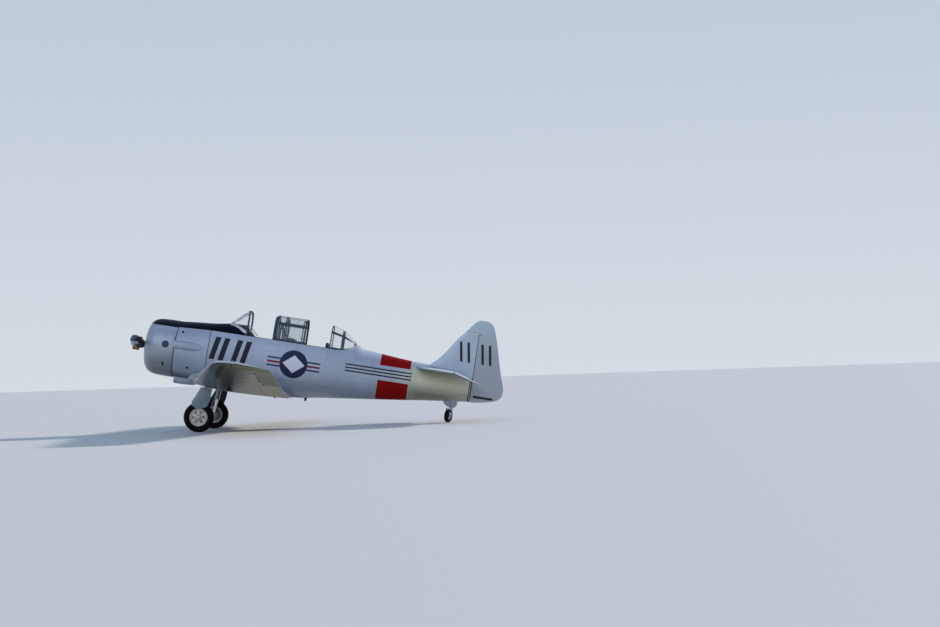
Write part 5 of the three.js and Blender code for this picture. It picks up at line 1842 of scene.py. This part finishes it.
def make_aft_canopy():
    bars = Shape()
    for s_range in ((4655, 4681), (4919, 4957), (5215, 5262)):
        frame_bar(bars, aft_point, s_range, (0, 10), 0)
    for u_range in (*both_sides(0, hoop_u(600)), *UPPER_BARS):
        frame_bar(bars, aft_point, (4655, 5262), u_range, 0)
    piece("canopy_aft_bars", bars, FRAME_GREY, replaces=["canopy_aft_frame"])
    xs = spread(4657, 5260, 24)
    make_panes("canopy_aft", aft_point, zip(xs, xs[1:]), 70)


def make_windscreen():
    bars = Shape()
    # The front bar, the side bars and the feet use the bright frame, a painted glint.
    bars.paint = 1
    frame_bar(bars, screen_point, (2300, 2322), (0.2, 9.8), 0, 9)
    for u_range in both_sides(2.85, 3.5):
        frame_bar(bars, screen_point, (2300, 2700), u_range, 0, 9)

    def along_foot(x, t, out):
        return screen_point(x, min(screen_foot(x) + t * 0.42, 4.9), out)

    def along_far_foot(x, t, out):
        return screen_point(x, 10 - min(screen_foot(x) + t * 0.42, 4.9), out)

    for place in (along_foot, along_far_foot):
        bars.slab(place, (2322, 2700), (0, 1), 3, 13, 16, 2)
    bars.paint = 0
    frame_bar(bars, screen_point, (2700, 2735), (0, 10), 0, 9)
    frame_bar(bars, screen_point, (2665, 2700), (3.5, 6.5), 0, 9)
    piece("windscreen_bars", bars, [FRAME_GREY, GLINT_FRAME], replaces=["windscreen_frame"])
    xs = spread(2303, 2733, 16)
    make_panes("windscreen", screen_point, zip(xs, xs[1:]), 70)
    # The braces use the bright frame, a painted glint.
    brace = Shape()
    brace.tube([(2712, -330, 770), (2800, -334, 685), (2892, -336, 590)], 12, 12)
    brace.lathe([[0, 20], [4, 20], [4, 0]], (2892, -336, 568), UP, 16)
    brace.mirrored()
    piece("screen_braces", brace, GLINT_FRAME)


# Cockpit
SEATS = (("front", 3010), ("rear", 4240))
SEAT_HALF, FLOOR_Z = 203, -299


def seat_rings(x):
    """The seat's pan and back, a thin bent plate that is narrower at the shoulders."""
    places = [(x + d, z) for d, z in ((0, -96), (14, -118), (60, -128), (200, -130), (330, -128),
                                      (368, -110), (380, -60), (384, 60), (388, 240), (392, 440),
                                      (392, 530), (380, 560))]
    rings = []
    for k, (px, pz) in enumerate(places):
        half = SEAT_HALF - (40 if pz > 500 else 14 if pz > 440 else 0)
        before, after = places[max(k - 1, 0)], places[min(k + 1, len(places) - 1)]
        way = (Vector(after) - Vector(before)).normalized()
        inner_x, inner_z = px - way.y * 3, pz + way.x * 3
        rings.append([(px, -half, pz), (px, half, pz), (inner_x, half, inner_z), (inner_x, -half, inner_z)])
    return rings


def make_seat(name, x):
    shell = Shape()
    shell.loft(seat_rings(x))
    arm = [(x + 8, -96), (x + 60, -128), (x + 370, -128), (x + 388, 60), (x + 390, 300), (x + 340, 260),
           (x + 300, 70), (x + 240, 30), (x + 60, 24), (x + 20, -30)]
    for side in (-1, 1):
        shell.prism(as_ring(arm, SEAT_HALF * side), as_ring(arm, (SEAT_HALF + 2.5) * side))
        for foot in (x + 105, x + 345):
            shell.tube([(foot, 145 * side, FLOOR_Z), (foot, 145 * side, -132)], 14, 16)
            shell.lathe([[0, 30], [5, 30], [7, 16]], (foot, 145 * side, FLOOR_Z - 0.5), UP, 20)
        shell.tube([(x + 394, 120 * side, FLOOR_Z), (x + 394, 120 * side, 520)], 11, 14)
    for z in (120, 320):
        shell.block((x + 393, -140, z), (x + 397, 140, z + 26))
    piece(f"seat_shell_{name}", shell, SEAT_METAL, replaces=[f"seat_{name}"],
          bevel=1.2)
    posts = Shape()
    for y in (-60, 60):
        posts.tube([(x + 388, y, 520), (x + 384, y, 610)], 7, 10)
    piece(f"headrest_posts_{name}", posts, STEEL)


def ribbon(path, corners):
    """The rings of a strap: one small outline at each point of a path."""
    return [[p + Vector(corner) for corner in corners] for p in path]


def make_belts(name, x):
    belts = Shape()
    for side in (-1, 1):
        strap = [(386, 70, 500), (352, 72, 470), (318, 80, 330), (312, 86, 160), (290, 84, 30),
                 (215, 60, -16), (150, 30, -8)]
        lap = [(330, 196, -40), (270, 170, 10), (205, 110, 10), (160, 40, 2)]
        for line, corners in ((strap, [(-2, -21, 2), (-2, 21, 2), (1, 21, 5), (1, -21, 5)]),
                              (lap, [(-22, 0, 0), (22, 0, 0), (22, 0, 3), (-22, 0, 3)])):
            belts.loft(ribbon(curve([(x + d, y * side, z) for d, y, z in line], 7), corners))
    belts.paint = 1
    belts.lathe([[-3, 30], [5, 30], [8, 24], [8, 0]], (x + 158, 0, 8), UP, 24)
    piece(f"belts_{name}", belts, [WEBBING, STEEL], angle=50)


BOARD = [(-300, 70), (300, 70), (312, 130), (317, 300), (317, 470), (300, 540), (240, 578),
         (-240, 578), (-300, 540), (-317, 470), (-317, 300), (-312, 130)]
# place across, height and radius of each dial
DIALS = [
    *[(y, 470, 42) for y in (-200, -95, 0, 95, 200)],
    (-200, 365, 42), (-95, 365, 42), (0, 360, 48), (95, 365, 42), (200, 365, 42),
    (-220, 265, 30), (-145, 265, 30), (-75, 255, 30), (0, 245, 34), (75, 255, 30),
    (145, 265, 30), (220, 265, 30), (-120, 175, 26), (0, 165, 26), (120, 175, 26),
]


def on_dial(centre, angle, along, half):
    """The two sides of a mark on a dial: along out from its centre, at an angle from the top."""
    s, c = sin(angle), cos(angle)
    middle = centre + Vector((0, s, c)) * along
    flat = Vector((0, c, -s)) * half
    return middle - flat, middle + flat


def add_marks(marks, face, k, y, z, r):
    """Twelve ticks and one hand, which points another way on each dial."""
    centre = Vector((face + 1.2, y, z))
    for m in range(12):
        angle, long = radians(30 * m), 5 if m % 3 else 9
        outer, inner = (on_dial(centre, angle, along, 0.9) for along in (r - 5, r - 5 - long))
        marks.add([*outer, *reversed(inner)], [(0, 1, 2, 3)])
    centre.x += 1
    angle = 0.7 + k * 1.9
    tip = on_dial(centre, angle, r - 12, 0)[0]
    marks.add([*on_dial(centre, angle, -8, 1.6), tip], [(0, 1, 2)])


def hood_rows(name, x):
    if name == "front":
        return [[(px, 300 * cos(a), 470 + (top - 470) * sin(a)) for a in spread(0, pi, 24)]
                for px, top in ((2640, 720), (2735, 694), (2800, 640), (2872, 572))]
    return [[(x + d, 322 * cos(a), 470 + 122 * sin(a) - d * 0.06)
             for a in spread(0.25, pi - 0.25, 24)] for d in (-6, 30, 70, 80)]


def make_panel(name, x):
    board, dials, marks, hood = Shape(), Shape(), Shape(), Shape()
    board.prism([(x, y, z) for y, z in BOARD], [(x + 14, y, z) for y, z in BOARD])
    piece(f"panel_board_{name}", board, BLACK_PAINT, replaces=[f"panel_{name}"],
          bevel=2.5)
    face = x + 16
    for k, (y, z, r) in enumerate(DIALS):
        dials.lathe([[0, r + 6], [5, r + 6], [8, r + 3], [8, r], [2, r - 1], [2, 0]], (face - 2, y, z),
                    AFT, 32)
        add_marks(marks, face, k, y, z, r)
        dials.studs([[0, 3], [2, 3], [3, 0]], [(face - 2, y + v, z + w) for v, w in circle(4, 45, r + 9)],
                    AFT, 8)
    dials.studs([[0, 8], [4, 8], [4, 3], [16, 2.4], [18, 0]],
                [(face - 2, y, 105) for y in spread(-200, 200, 8)], AFT, 12)
    piece(f"panel_dials_{name}", dials, DIAL_BLACK, angle=40)
    piece(f"panel_marks_{name}", marks, DIAL_WHITE)
    hood.strip(hood_rows(name, x))
    piece(f"panel_hood_{name}", hood, BLACK_PAINT)


def make_controls():
    """A stick and two pedals for each seat."""
    stick = Shape()
    for _, seat_x in SEATS:
        x = seat_x - 30
        stick.tube(curve([(x, 0, -290), (x + 4, 0, -120), (x + 26, 0, 40), (x + 30, 0, 150)], 8), 12, 14)
        stick.lathe([[-60, 15], [-30, 18], [10, 17], [50, 19], [64, 15], [68, 0]], (x + 32, 0, 180),
                    (0.1, 0, 1), 18)
        stick.lathe([[0, 46], [10, 44], [60, 26], [110, 14]], (x, 0, FLOOR_Z), UP, 24)
        for side in (-1, 1):
            foot, y = x - 260, 110 * side
            stick.tube([(foot, y, -250), (foot + 10, y, -120)], 9, 10)
            stick.tube([(foot + 10, 70 * side, -120), (foot + 10, 150 * side, -120)], 11, 12)
            stick.block((foot + 2, 60 * side, -160), (foot + 8, 160 * side, -110))
            stick.tube([(foot - 10, y, -290), (foot, y, -250)], 12, 10)
    piece("controls", stick, BLACK_PAINT, angle=40)


def make_levers():
    """Engine levers and a trim wheel on the port side, a box of switches on the other."""
    levers = Shape()
    for _, x in SEATS:
        levers.block((x - 120, -385, 250), (x + 220, -330, 330))
        levers.block((x - 60, -380, 330), (x + 80, -340, 356))
        for d in (-30, 0, 30):
            levers.tube([(x + d, -356, 350), (x + d - 24, -352, 430)], 5, 8)
            levers.lathe([[-12, 8], [-6, 13], [6, 13], [12, 8]], (x + d - 24, -352, 438), ACROSS, 14)
        levers.block((x - 60, 330, 200), (x + 260, 386, 340))
        levers.studs([[0, 12], [10, 12], [12, 5]], [(x + 60 * k - 20, 329, 290) for k in range(4)],
                     (0, -1, 0), 14)
        levers.lathe([[-6, 92], [0, 98], [6, 92], [0, 86]], (x + 150, -352, 60), ACROSS, 32, closed=True)
        levers.tube([(x + 150, -352, -30), (x + 150, -352, 150)], 6, 8)
        levers.tube([(x + 60, -352, 60), (x + 240, -352, 60)], 6, 8)
    piece("cockpit_levers", levers, BLACK_PAINT, bevel=2)


def tube_y(x, side):
    """Where the cockpits' frame of tubes stands; its last post is further in."""
    return 372 * side * (0.77 if x > 4900 else 1)


def make_tubes():
    tubes = Shape()
    posts = [2560, 2960, 3440, 3900, 4180, 4700, 4980]
    for side in (-1, 1):
        for z, last_z in ((440, 430), (-250, -235)):
            tubes.tube([(2460, 372 * side, z), (4700, 372 * side, z), (4985, 285 * side, last_z)], 17, 12)
        for x in posts:
            tubes.tube([(x, tube_y(x, side), -240), (x, tube_y(x, side), 435)], 13, 10)
        for k, (x, after) in enumerate(zip(posts, posts[1:])):
            ends = (-245, 437) if k % 2 else (437, -245)
            tubes.tube([(x, tube_y(x, side), ends[0]), (after, tube_y(after, side), ends[1])], 11, 10)
        tubes.tube([(3480, 200 * side, 880), (3710, 300 * side, 455)], 14, 10)
    for x in (3470, 4690):
        tubes.tube([(x, -370, 440), (x, 370, 440)], 15, 12)
    hoop = [(3470, y, z) for y, z in ((-300, 455), (-290, 700), (-180, 900), (0, 960), (180, 900),
                                      (290, 700), (300, 455))]
    tubes.tube(curve(hoop, 8), 19, 14)
    piece("cockpit_tubes", tubes, COCKPIT_GREEN)


def make_shelf_and_floor():
    shelf = Shape()
    shelf.loft([[(x, 250 * cos(a), mix(470, top, max(0, sin(a)) ** 0.7))
                 for a in spread(-0.15, pi + 0.15, 18)]
                for x, top in ((3560, 500), (3590, 640), (3680, 668), (3800, 660), (3880, 600),
                               (3900, 480))])
    piece("radio_cover", shelf, BLACK_PAINT, angle=50)
    floor = Shape()
    for x in range(2600, 4900, 100):
        floor.block((x, -360, -300), (x + 96, 360, -296))
    floor.block((2480, -60, -296), (4980, 60, -262))
    piece("cockpit_floor", floor, INNER, bevel=1.5)


PAD_STEPS = 14


def pad_side(lo, hi, thin, face):
    """The rows of one swollen side of a pad, which is thin along one axis."""
    size = [b - a for a, b in zip(lo, hi)]
    wide = [axis for axis in range(3) if axis != thin]
    rows = []
    for u in spread(-1, 1, PAD_STEPS):
        row = []
        for v in spread(-1, 1, PAD_STEPS):
            dome = (max(0, 1 - abs(u) ** 4) * max(0, 1 - abs(v) ** 4)) ** 0.5
            point = [mix(a, b, 0.5) for a, b in zip(lo, hi)]
            point[wide[0]] += u * (1 - 0.035 * v * v) * size[wide[0]] / 2
            point[wide[1]] += v * (1 - 0.035 * u * u) * size[wide[1]] / 2
            point[thin] += face * size[thin] * (0.14 + 0.36 * dome)
            row.append(tuple(point))
        rows.append(row)
    return rows


def pillow(lo, hi, crown, name):
    """A rounded leather pad that swells a little when it is blown up as cloth."""
    size = [b - a for a, b in zip(lo, hi)]
    shape, n = Shape(), PAD_STEPS
    for face in (-1, 1):
        shape.strip(pad_side(lo, hi, size.index(min(size)), face))
    across = (n + 1) ** 2
    ways = [[i * (n + 1) for i in range(n + 1)], [i * (n + 1) + n for i in range(n + 1)],
            list(range(n + 1)), [n * (n + 1) + i for i in range(n + 1)]]
    shape.join([(a, b, b + across, a + across) for way in ways for a, b in zip(way, way[1:])])
    pad = piece(name, shape, LEATHER, angle=80)
    puff_up(pad, crown / 1000)


def puff_up(pad, reach):
    """Blows a pad up as cloth for a few frames and keeps the result, no point moving over reach."""
    scene = bpy.context.scene
    remesh = pad.modifiers.new("remesh", "REMESH")
    remesh.mode = "VOXEL"
    remesh.voxel_size = 0.006
    start = [v.co.copy() for v in applied(pad).vertices]
    cloth = pad.modifiers.new("cloth", "CLOTH")
    cloth.settings.quality = 6
    cloth.settings.mass = 0.3
    cloth.settings.tension_stiffness = 25
    cloth.settings.compression_stiffness = 25
    cloth.settings.bending_stiffness = 2.0
    cloth.settings.use_pressure = True
    cloth.settings.uniform_pressure_force = 4.0
    cloth.settings.effector_weights.gravity = 0
    cloth.point_cache.frame_start = 1
    cloth.point_cache.frame_end = 20
    for number in range(1, 21):
        scene.frame_set(number)
    blown = bpy.data.meshes.new_from_object(pad.evaluated_get(bpy.context.evaluated_depsgraph_get()))
    for vertex, before in zip(blown.vertices, start):
        step = vertex.co - before
        if step.length > reach:
            vertex.co = before + step.normalized() * reach
    pad.modifiers.clear()
    pad.data = blown
    blown.polygons.foreach_set("use_smooth", [True] * len(blown.polygons))
    scene.frame_set(1)
    pad.modifiers.new("rounding", "SUBSURF").render_levels = 1


def make_cushions():
    for name, x in SEATS:
        pillow((x + 14, -190, -100), (x + 352, 190, -34), 12, f"seat_cushion_{name}")
        pillow((x + 318, -178, -20), (x + 380, 178, 420), 12, f"back_cushion_{name}")
        pillow((x + 300, -115, 540), (x + 392, 115, 690), 8, f"headrest_pad_{name}")
        piping = Shape()
        for side in (-1, 1):
            edge = [(x + 18, 182 * side, -67), (x + 183, 178 * side, -67), (x + 348, 182 * side, -67)]
            piping.tube(curve(edge, 10), 3.5, 8)
        piece(f"cushion_piping_{name}", piping, LEATHER_DARK)


def make_cockpit():
    for name, x in SEATS:
        make_seat(name, x)
        make_belts(name, x)
    for name, x in (("front", 2760), ("rear", 3960)):
        make_panel(name, x)
    make_controls()
    make_levers()
    make_tubes()
    make_shelf_and_floor()
    make_cushions()


# Main gear
STRUT = {"x": 2105, "y": 1130, "z": -600}
TYRE = {"radius": 343, "half": 110, "rim": 205}
FAIRING_ARMS = (-800, -1010)


def on_strut(share, side):
    """A place on the leg's centre line, from its top (0) to the axle (1)."""
    return Vector((mix(STRUT["x"], AXLE["x"], share), STRUT["y"] * side, mix(STRUT["z"], AXLE["z"], share)))


def on_strut_at(z, side):
    return on_strut((STRUT["z"] - z) / (STRUT["z"] - AXLE["z"]), side)


def on_axle(y):
    return Vector((AXLE["x"], y, AXLE["z"]))


def make_leg(name, side):
    leg = Shape()
    y, outwards, inwards = STRUT["y"] * side, (0, side, 0), (0, -side, 0)
    knee, foot = on_strut(0.55, side), on_strut(1, side)
    way = (foot - on_strut(0, side)).normalized()
    leg.tube([on_strut(0.02, side), knee], [58, 55], 28)
    collars = [on_strut(share, side) for share in (0.16, 0.36)]
    leg.studs([[-14, 55], [-14, 62], [14, 62], [14, 55]], collars, way, 28)
    leg.lathe([[-30, 55], [-30, 63], [-4, 64], [2, 60], [2, 38]], knee, way, 32)
    leg.tube([(1932, y, -625), (2232, y, -625)], 34, 24)
    for x, end in ((1932, AHEAD), (2232, AFT)):
        leg.lathe([[-6, 44], [6, 44], [6, 20], [12, 18], [12, 0]], (x, y, -625), end, 20)
    elbow, upper_pin = knee + Vector((-100, 0, -110)), knee + Vector((-42, 0, -14))
    lower_pin = foot + Vector((-46, 0, 52))
    for pin, apart, thick in ((upper_pin, 26, 14), (lower_pin, 22, 13)):
        for across in (-apart, apart):
            leg.tube([pin + Vector((0, across, 0)), elbow + Vector((0, across * 0.4, 0))], [thick, 9], 12)
    leg.lathe([[-34, 12], [34, 12]], elbow, ACROSS, 14)
    leg.lathe([[-36, 14], [36, 14]], upper_pin, ACROSS, 14)
    leg.lathe([[-58, 50], [-46, 60], [40, 60], [58, 52], [66, 30]], foot - way * 4, way, 32)
    leg.tube([on_axle(1085 * side), on_axle(1192 * side)], 58, 28)
    leg.lathe([[0, 60], [10, 60], [10, 30]], on_axle(1090 * side), inwards, 28)
    leg.tube([on_axle(1190 * side), on_axle(1400 * side)], 30, 28)
    for z in FAIRING_ARMS:
        place = on_strut_at(z, side)
        leg.tube([place, (place.x, 1444 * side, z)], 15, 14)
        leg.lathe([[-20, 59], [-20, 66], [20, 66], [20, 59]], place, way, 28)
    leg.lathe([[0, 120], [6, 120], [14, 100], [14, 58]], on_axle(1168 * side), outwards, 36)
    bolts = [on_axle(1158 * side) + Vector((x, 0, z)) for x, z in circle(8, 0, 84)]
    leg.studs([[0, 8], [8, 8], [10, 0]], bolts, inwards, 8)
    leg.paint = 1
    leg.tube([knee, foot], 37, 32)
    leg.paint = 2
    hose = [(2150, 1090, -640), (2130, 1064, -760), (2112, 1062, -900), (knee.x + 40, 1070, knee.z + 20),
            (knee.x + 88, 1080, knee.z - 110), (AXLE["x"] + 76, 1084, AXLE["z"] + 130),
            (AXLE["x"] + 48, 1120, AXLE["z"] + 40)]
    leg.tube(curve([(x, across * side, z) for x, across, z in hose], 8), 6.5, 10)
    piece(f"leg_{name}", leg, [LEG_GREY, CHROME, RUBBER], replaces=[f"gear_leg_{name}"])


PLATE = [(2002, -752), (2257, -752), (2250, -930), (2238, -1050), (2205, -1170), (2095, -1235),
         (1950, -1240), (1850, -1190), (1846, -1100), (1905, -985)]


def make_fairing(name, side):
    """The leg's cover plate: a raised panel and screws outside, brackets and ribs inside."""
    plate = Shape()
    plate.prism(as_ring(PLATE, 1440 * side), as_ring(PLATE, 1451 * side))
    plate.loft([[(mix(2080, x, share), y * side, mix(-1010, z, share)) for x, z in PLATE]
                for y, share in ((1451.5, 0.93), (1453.5, 0.9))])
    for z in FAIRING_ARMS:
        x = on_strut_at(z, side).x
        plate.block((x - 40, 1428 * side, z - 34), (x + 40, 1440 * side, z + 34))
        screws = [(x + dx, 1451 * side, z + dz) for dx in (-28, 28) for dz in (-22, 22)]
        plate.studs([[0, 6], [1.5, 6], [2.5, 0]], screws, (0, side, 0), 10)
    for k in range(5):
        z = -830 - 80 * k
        plate.block((2030 - 8 * k, 1424 * side, z - 5), (2236, 1440 * side, z + 5))
    piece(f"fairing_{name}", plate, FAIRING, replaces=[f"gear_fairing_{name}"], bevel=1.5)


def tyre_shape(size, centre, sides, grooves):
    """A tyre on the y axis: smooth walls, and a tread of grooved ribs."""
    radius, half, rim = size["radius"], size["half"], size["rim"]
    tyre, unit, shoulder = Shape(), half / 110, radius - half / 2
    walls = [[-0.62 * half, rim], [-0.78 * half, rim + 6], [-0.9 * half, rim + 22], [-0.98 * half, rim + 44],
             [-half, mix(rim, shoulder, 0.62)], [-0.985 * half, shoulder - 12],
             [-0.93 * half, shoulder + 6], [-0.84 * half, radius - 26 * unit - 8],
             [-0.62 * half, radius - 12 * unit]]

    def crown_at(d):
        return radius - 12 * unit * (d / (0.62 * half)) ** 2

    crown = []
    for k in range(grooves):
        at = mix(-0.5, 0.5, (k + 0.5) / grooves) * half
        top = crown_at(at)
        crown += [[at - 0.036 * half, top], [at - 0.022 * half, top - 5 * unit],
                  [at + 0.022 * half, top - 5 * unit], [at + 0.036 * half, top]]
        if k + 1 < grooves:
            rib = mix(-0.5, 0.5, (k + 1) / grooves) * half
            crown.append([rib, crown_at(rib)])
    tyre.lathe(walls + crown + [[-d, r] for d, r in reversed(walls)], centre, ACROSS, sides, closed=True)
    for side in (-1, 1):
        wall = Vector(centre) + Vector((0, side * 0.985 * half, 0))
        for share in (0.3, 0.55):
            r = mix(rim + 44, shoulder, share)
            tyre.lathe([[-1.2, r - 2.5], [1.6, r - 1.2], [1.6, r + 1.2], [-1.2, r + 2.5]], wall,
                       (0, side, 0), sides, closed=True)
    return tyre


def rim_shape(size, bore, centre, recesses):
    """A cast wheel with a well, a raised hub and radial ribs on both faces."""
    rim, half = size["rim"], size["half"]
    wheel = Shape()
    face = [[0.6 * half, rim], [0.64 * half, rim - 3], [0.66 * half, rim - 12], [0.6 * half, rim - 20],
            [0.5 * half, rim - 28], [0.46 * half, rim - 48], [0.46 * half, bore + 62],
            [0.52 * half, bore + 50], [0.72 * half, bore + 46], [0.74 * half, bore + 40],
            [0.74 * half, bore + 10], [0.7 * half, bore]]
    wheel.lathe([[-d, r] for d, r in reversed(face)] + face, centre, ACROSS, 64, closed=True)
    inner, outer = bore + 66, rim - 50
    for side in (-1, 1):
        if outer - inner > 12:
            for k in range(recesses):
                since = len(wheel.points)
                wheel.block((inner, 0.4 * side * half, -5), (outer, 0.5 * side * half, 5))
                turn = Matrix.Rotation(2 * pi * (k + 0.5) / recesses, 4, "Y")
                wheel.moved(Matrix.Translation(Vector(centre)) @ turn, since)
        bolts = [Vector(centre) + Vector((x, side * 0.48 * half, z))
                 for x, z in circle(recesses, 0, rim - 34)]
        wheel.studs([[0, 7], [5, 7], [7, 4], [7, 0]], bolts, (0, side, 0), 8)
        wheel.paint = 1
        wheel.lathe([[0, bore + 28], [0.16 * half, bore + 26], [0.2 * half, bore + 16],
                     [0.2 * half, bore + 1], [0, bore + 1]],
                    Vector(centre) + Vector((0, side * 0.72 * half, 0)), (0, side, 0), 32, closed=True)
        wheel.paint = 0
    return wheel


def make_gear():
    for name, side in SIDES:
        make_leg(name, side)
        make_fairing(name, side)
        centre = on_axle(AXLE["y"] * side)
        piece(f"tyre_tread_{name}", tyre_shape(TYRE, centre, 96, 5), RUBBER, body=f"wheel_{name}",
              replaces=[f"tyre_{name}"], angle=28)
        piece(f"wheel_disc_{name}", rim_shape(TYRE, 30, centre, 10), [WHEEL_FACE, STEEL],
              body=f"wheel_{name}", replaces=[f"rim_{name}"], angle=30)
        cap, end = Shape(), on_axle(1386 * side)
        cap.lathe([[0, 47], [6, 47], [9, 44], [22, 41], [29, 32], [32, 16], [33, 0]], end, (0, side, 0), 36)
        nuts = [end + Vector((x, 4 * side, z)) for x, z in circle(6, 0, 66)]
        cap.studs([[0, 6], [5, 6], [6, 3], [6, 0]], nuts, (0, side, 0), 6)
        piece(f"hub_cap_{name}", cap, HUB_CAP, body=f"wheel_{name}")


# Tail gear
TAIL_WHEEL = {"radius": 159, "half": 55, "rim": 80}
TAIL_AXLE = Vector((7782, 0, -575.5))


def rounded(x0, x1, half, z, power=0.8, count=28):
    """A level, rounded outline between two x places."""
    return [(mix(x0, x1, 0.5 + bowed(c, power) / 2), half * bowed(s, power), z) for c, s in circle(count)]


def make_tail_gear():
    housing = Shape()
    housing.loft([rounded(*row) for row in (
        (7450, 7830, 48, -160), (7468, 7824, 47.5, -230), (7500, 7815, 46, -300), (7560, 7790, 40, -345),
        (7620, 7765, 36, -366), (7626, 7759, 34, -372))])
    for side in (-1, 1):
        housing.studs([[0, 9], [3, 9], [5, 5], [5, 0]], [(x, side * 45.5, -270) for x in (7540, 7740)],
                      (0, side, 0), 12)
    piece("tail_gear_fairing", housing, LEG_GREY, replaces=["tail_gear_housing"])
    fork = Shape()
    axle_x, _, axle_z = TAIL_AXLE
    crown = axle_z + TAIL_WHEEL["radius"] + 8
    fork.tube([(TAIL_PIVOT_X, 0, -368), (TAIL_PIVOT_X, 0, crown + 4)], 30, 28)
    low, high = crown + 0.2, crown + 13.5
    fork.loft([[(mix(7725, x, share), y * share, z) for x, y, _ in rounded(7660, 7792, 80, 0, 0.7, 24)]
               for z, share in ((low, 0.94), (low + 3, 1), (high - 3, 1), (high, 0.94))])
    for side in (-1, 1):
        y = 74 * side
        fork.tube([(axle_x - 6, y, high), (axle_x - 4, y, crown - 60), (axle_x, y, axle_z)],
                  [12.5, 11.5, 10.5], 16)
        fork.lathe([[-8, 20], [6, 20], [8, 16], [8, 0]], (axle_x, y, axle_z), (0, side, 0), 20)
    fork.tube([(axle_x, -80, axle_z), (axle_x, 80, axle_z)], 12, 20)
    piece("tail_fork_arms", fork, LEG_GREY, body="tail_fork", replaces=["tail_fork"], bevel=1)
    piece("tail_tyre_tread", tyre_shape(TAIL_WHEEL, TAIL_AXLE, 64, 3), RUBBER, body="tail_wheel",
          replaces=["tail_tyre"], angle=28)
    piece("tail_wheel_disc", rim_shape(TAIL_WHEEL, 13, TAIL_AXLE, 6), [WHEEL_GREY, STEEL],
          body="tail_wheel", replaces=["tail_rim"], angle=30)


# Building
make_cowl()
make_engine()
make_propeller()
make_nose_skin()
make_blister()
make_scoop()
make_exhaust()
make_fuselage_skin()
make_tail_cone()
make_wing_fillets()
make_ledges()
make_tub()
make_outer_wings()
make_wing_centre()
make_wing_joints()
make_tailplane()
make_fin_and_rudder()
make_rudder_details()
make_stabilizer_fillets()
make_canopy_sections()
make_aft_canopy()
make_windscreen()
make_cockpit()
make_gear()
make_tail_gear()


# Stage
def make_floor():
    mesh = bpy.data.meshes.new("floor")
    half = 300.0
    corners = [(-half, -half, 0), (half, -half, 0), (half, half, 0), (-half, half, 0)]
    mesh.from_pydata(corners, [], [(0, 1, 2, 3)])
    mesh.materials.append(Paint("floor_paint", (0.62, 0.61, 0.585), 0.75).material)
    placed("floor", mesh)


def make_light(name, toward, soft, power, color):
    """Light from far away, coming from the direction toward, with soft edged shadows."""
    data = bpy.data.lights.new(name, "SUN")
    data.angle = radians(soft)
    data.energy = power
    data.color = color
    lamp = placed(name, data)
    lamp.rotation_euler = Vector(toward).to_track_quat("Z", "Y").to_euler()


def make_world():
    """A pale horizon under a bluer sky."""
    world = bpy.data.worlds.new("sky")
    bpy.context.scene.world = world
    world.use_nodes = True
    tree = world.node_tree
    back = tree.nodes["Background"]
    coordinates = tree.nodes.new("ShaderNodeTexCoord")
    split = tree.nodes.new("ShaderNodeSeparateXYZ")
    ramp = tree.nodes.new("ShaderNodeValToRGB")
    tree.links.new(coordinates.outputs["Generated"], split.inputs[0])
    tree.links.new(split.outputs[2], ramp.inputs[0])
    tree.links.new(ramp.outputs[0], back.inputs[0])
    stops = ramp.color_ramp.elements
    stops[0].position = 0.0
    stops[0].color = (0.78, 0.84, 0.90, 1)
    stops[1].position = 0.6
    stops[1].color = (0.34, 0.46, 0.70, 1)
    back.inputs["Strength"].default_value = 0.85


def make_camera():
    """The photograph's camera: turn and tilt in radians, focal length in pixels of its width."""
    turn, tilt, focal, width = 0.01519, 0.03274, 1698.33, 940
    right = Vector((cos(turn), -sin(turn), 0))
    ahead = Vector((sin(turn), cos(turn), 0))
    up = Vector((0, 0, 1))
    look = (ahead + right * (1.898 / focal) + up * (57.94 / focal)).normalized()
    side = right * cos(tilt) - up * sin(tilt)
    side = (side - look * side.dot(look)).normalized()
    head = side.cross(look)
    place = DATUM.translation + Vector((7.353, -40.116, -0.957))
    data = bpy.data.cameras.new("camera")
    data.sensor_width = 36
    data.lens = focal * data.sensor_width / width
    data.clip_end = 400
    camera = placed("camera", data)
    turned = Matrix((side, head, -look)).transposed().to_4x4()
    camera.matrix_world = Matrix.Translation(place) @ turned
    bpy.context.scene.camera = camera


make_floor()
make_world()
make_light("key", (0.79, 0.457, 0.407), 5, 3.4, (1.0, 0.95, 0.87))
make_light("fill", (-0.25, -0.8, 0.5), 40, 0.35, (0.80, 0.90, 1.0))
make_camera()
bpy.context.scene.view_settings.view_transform = "Standard"
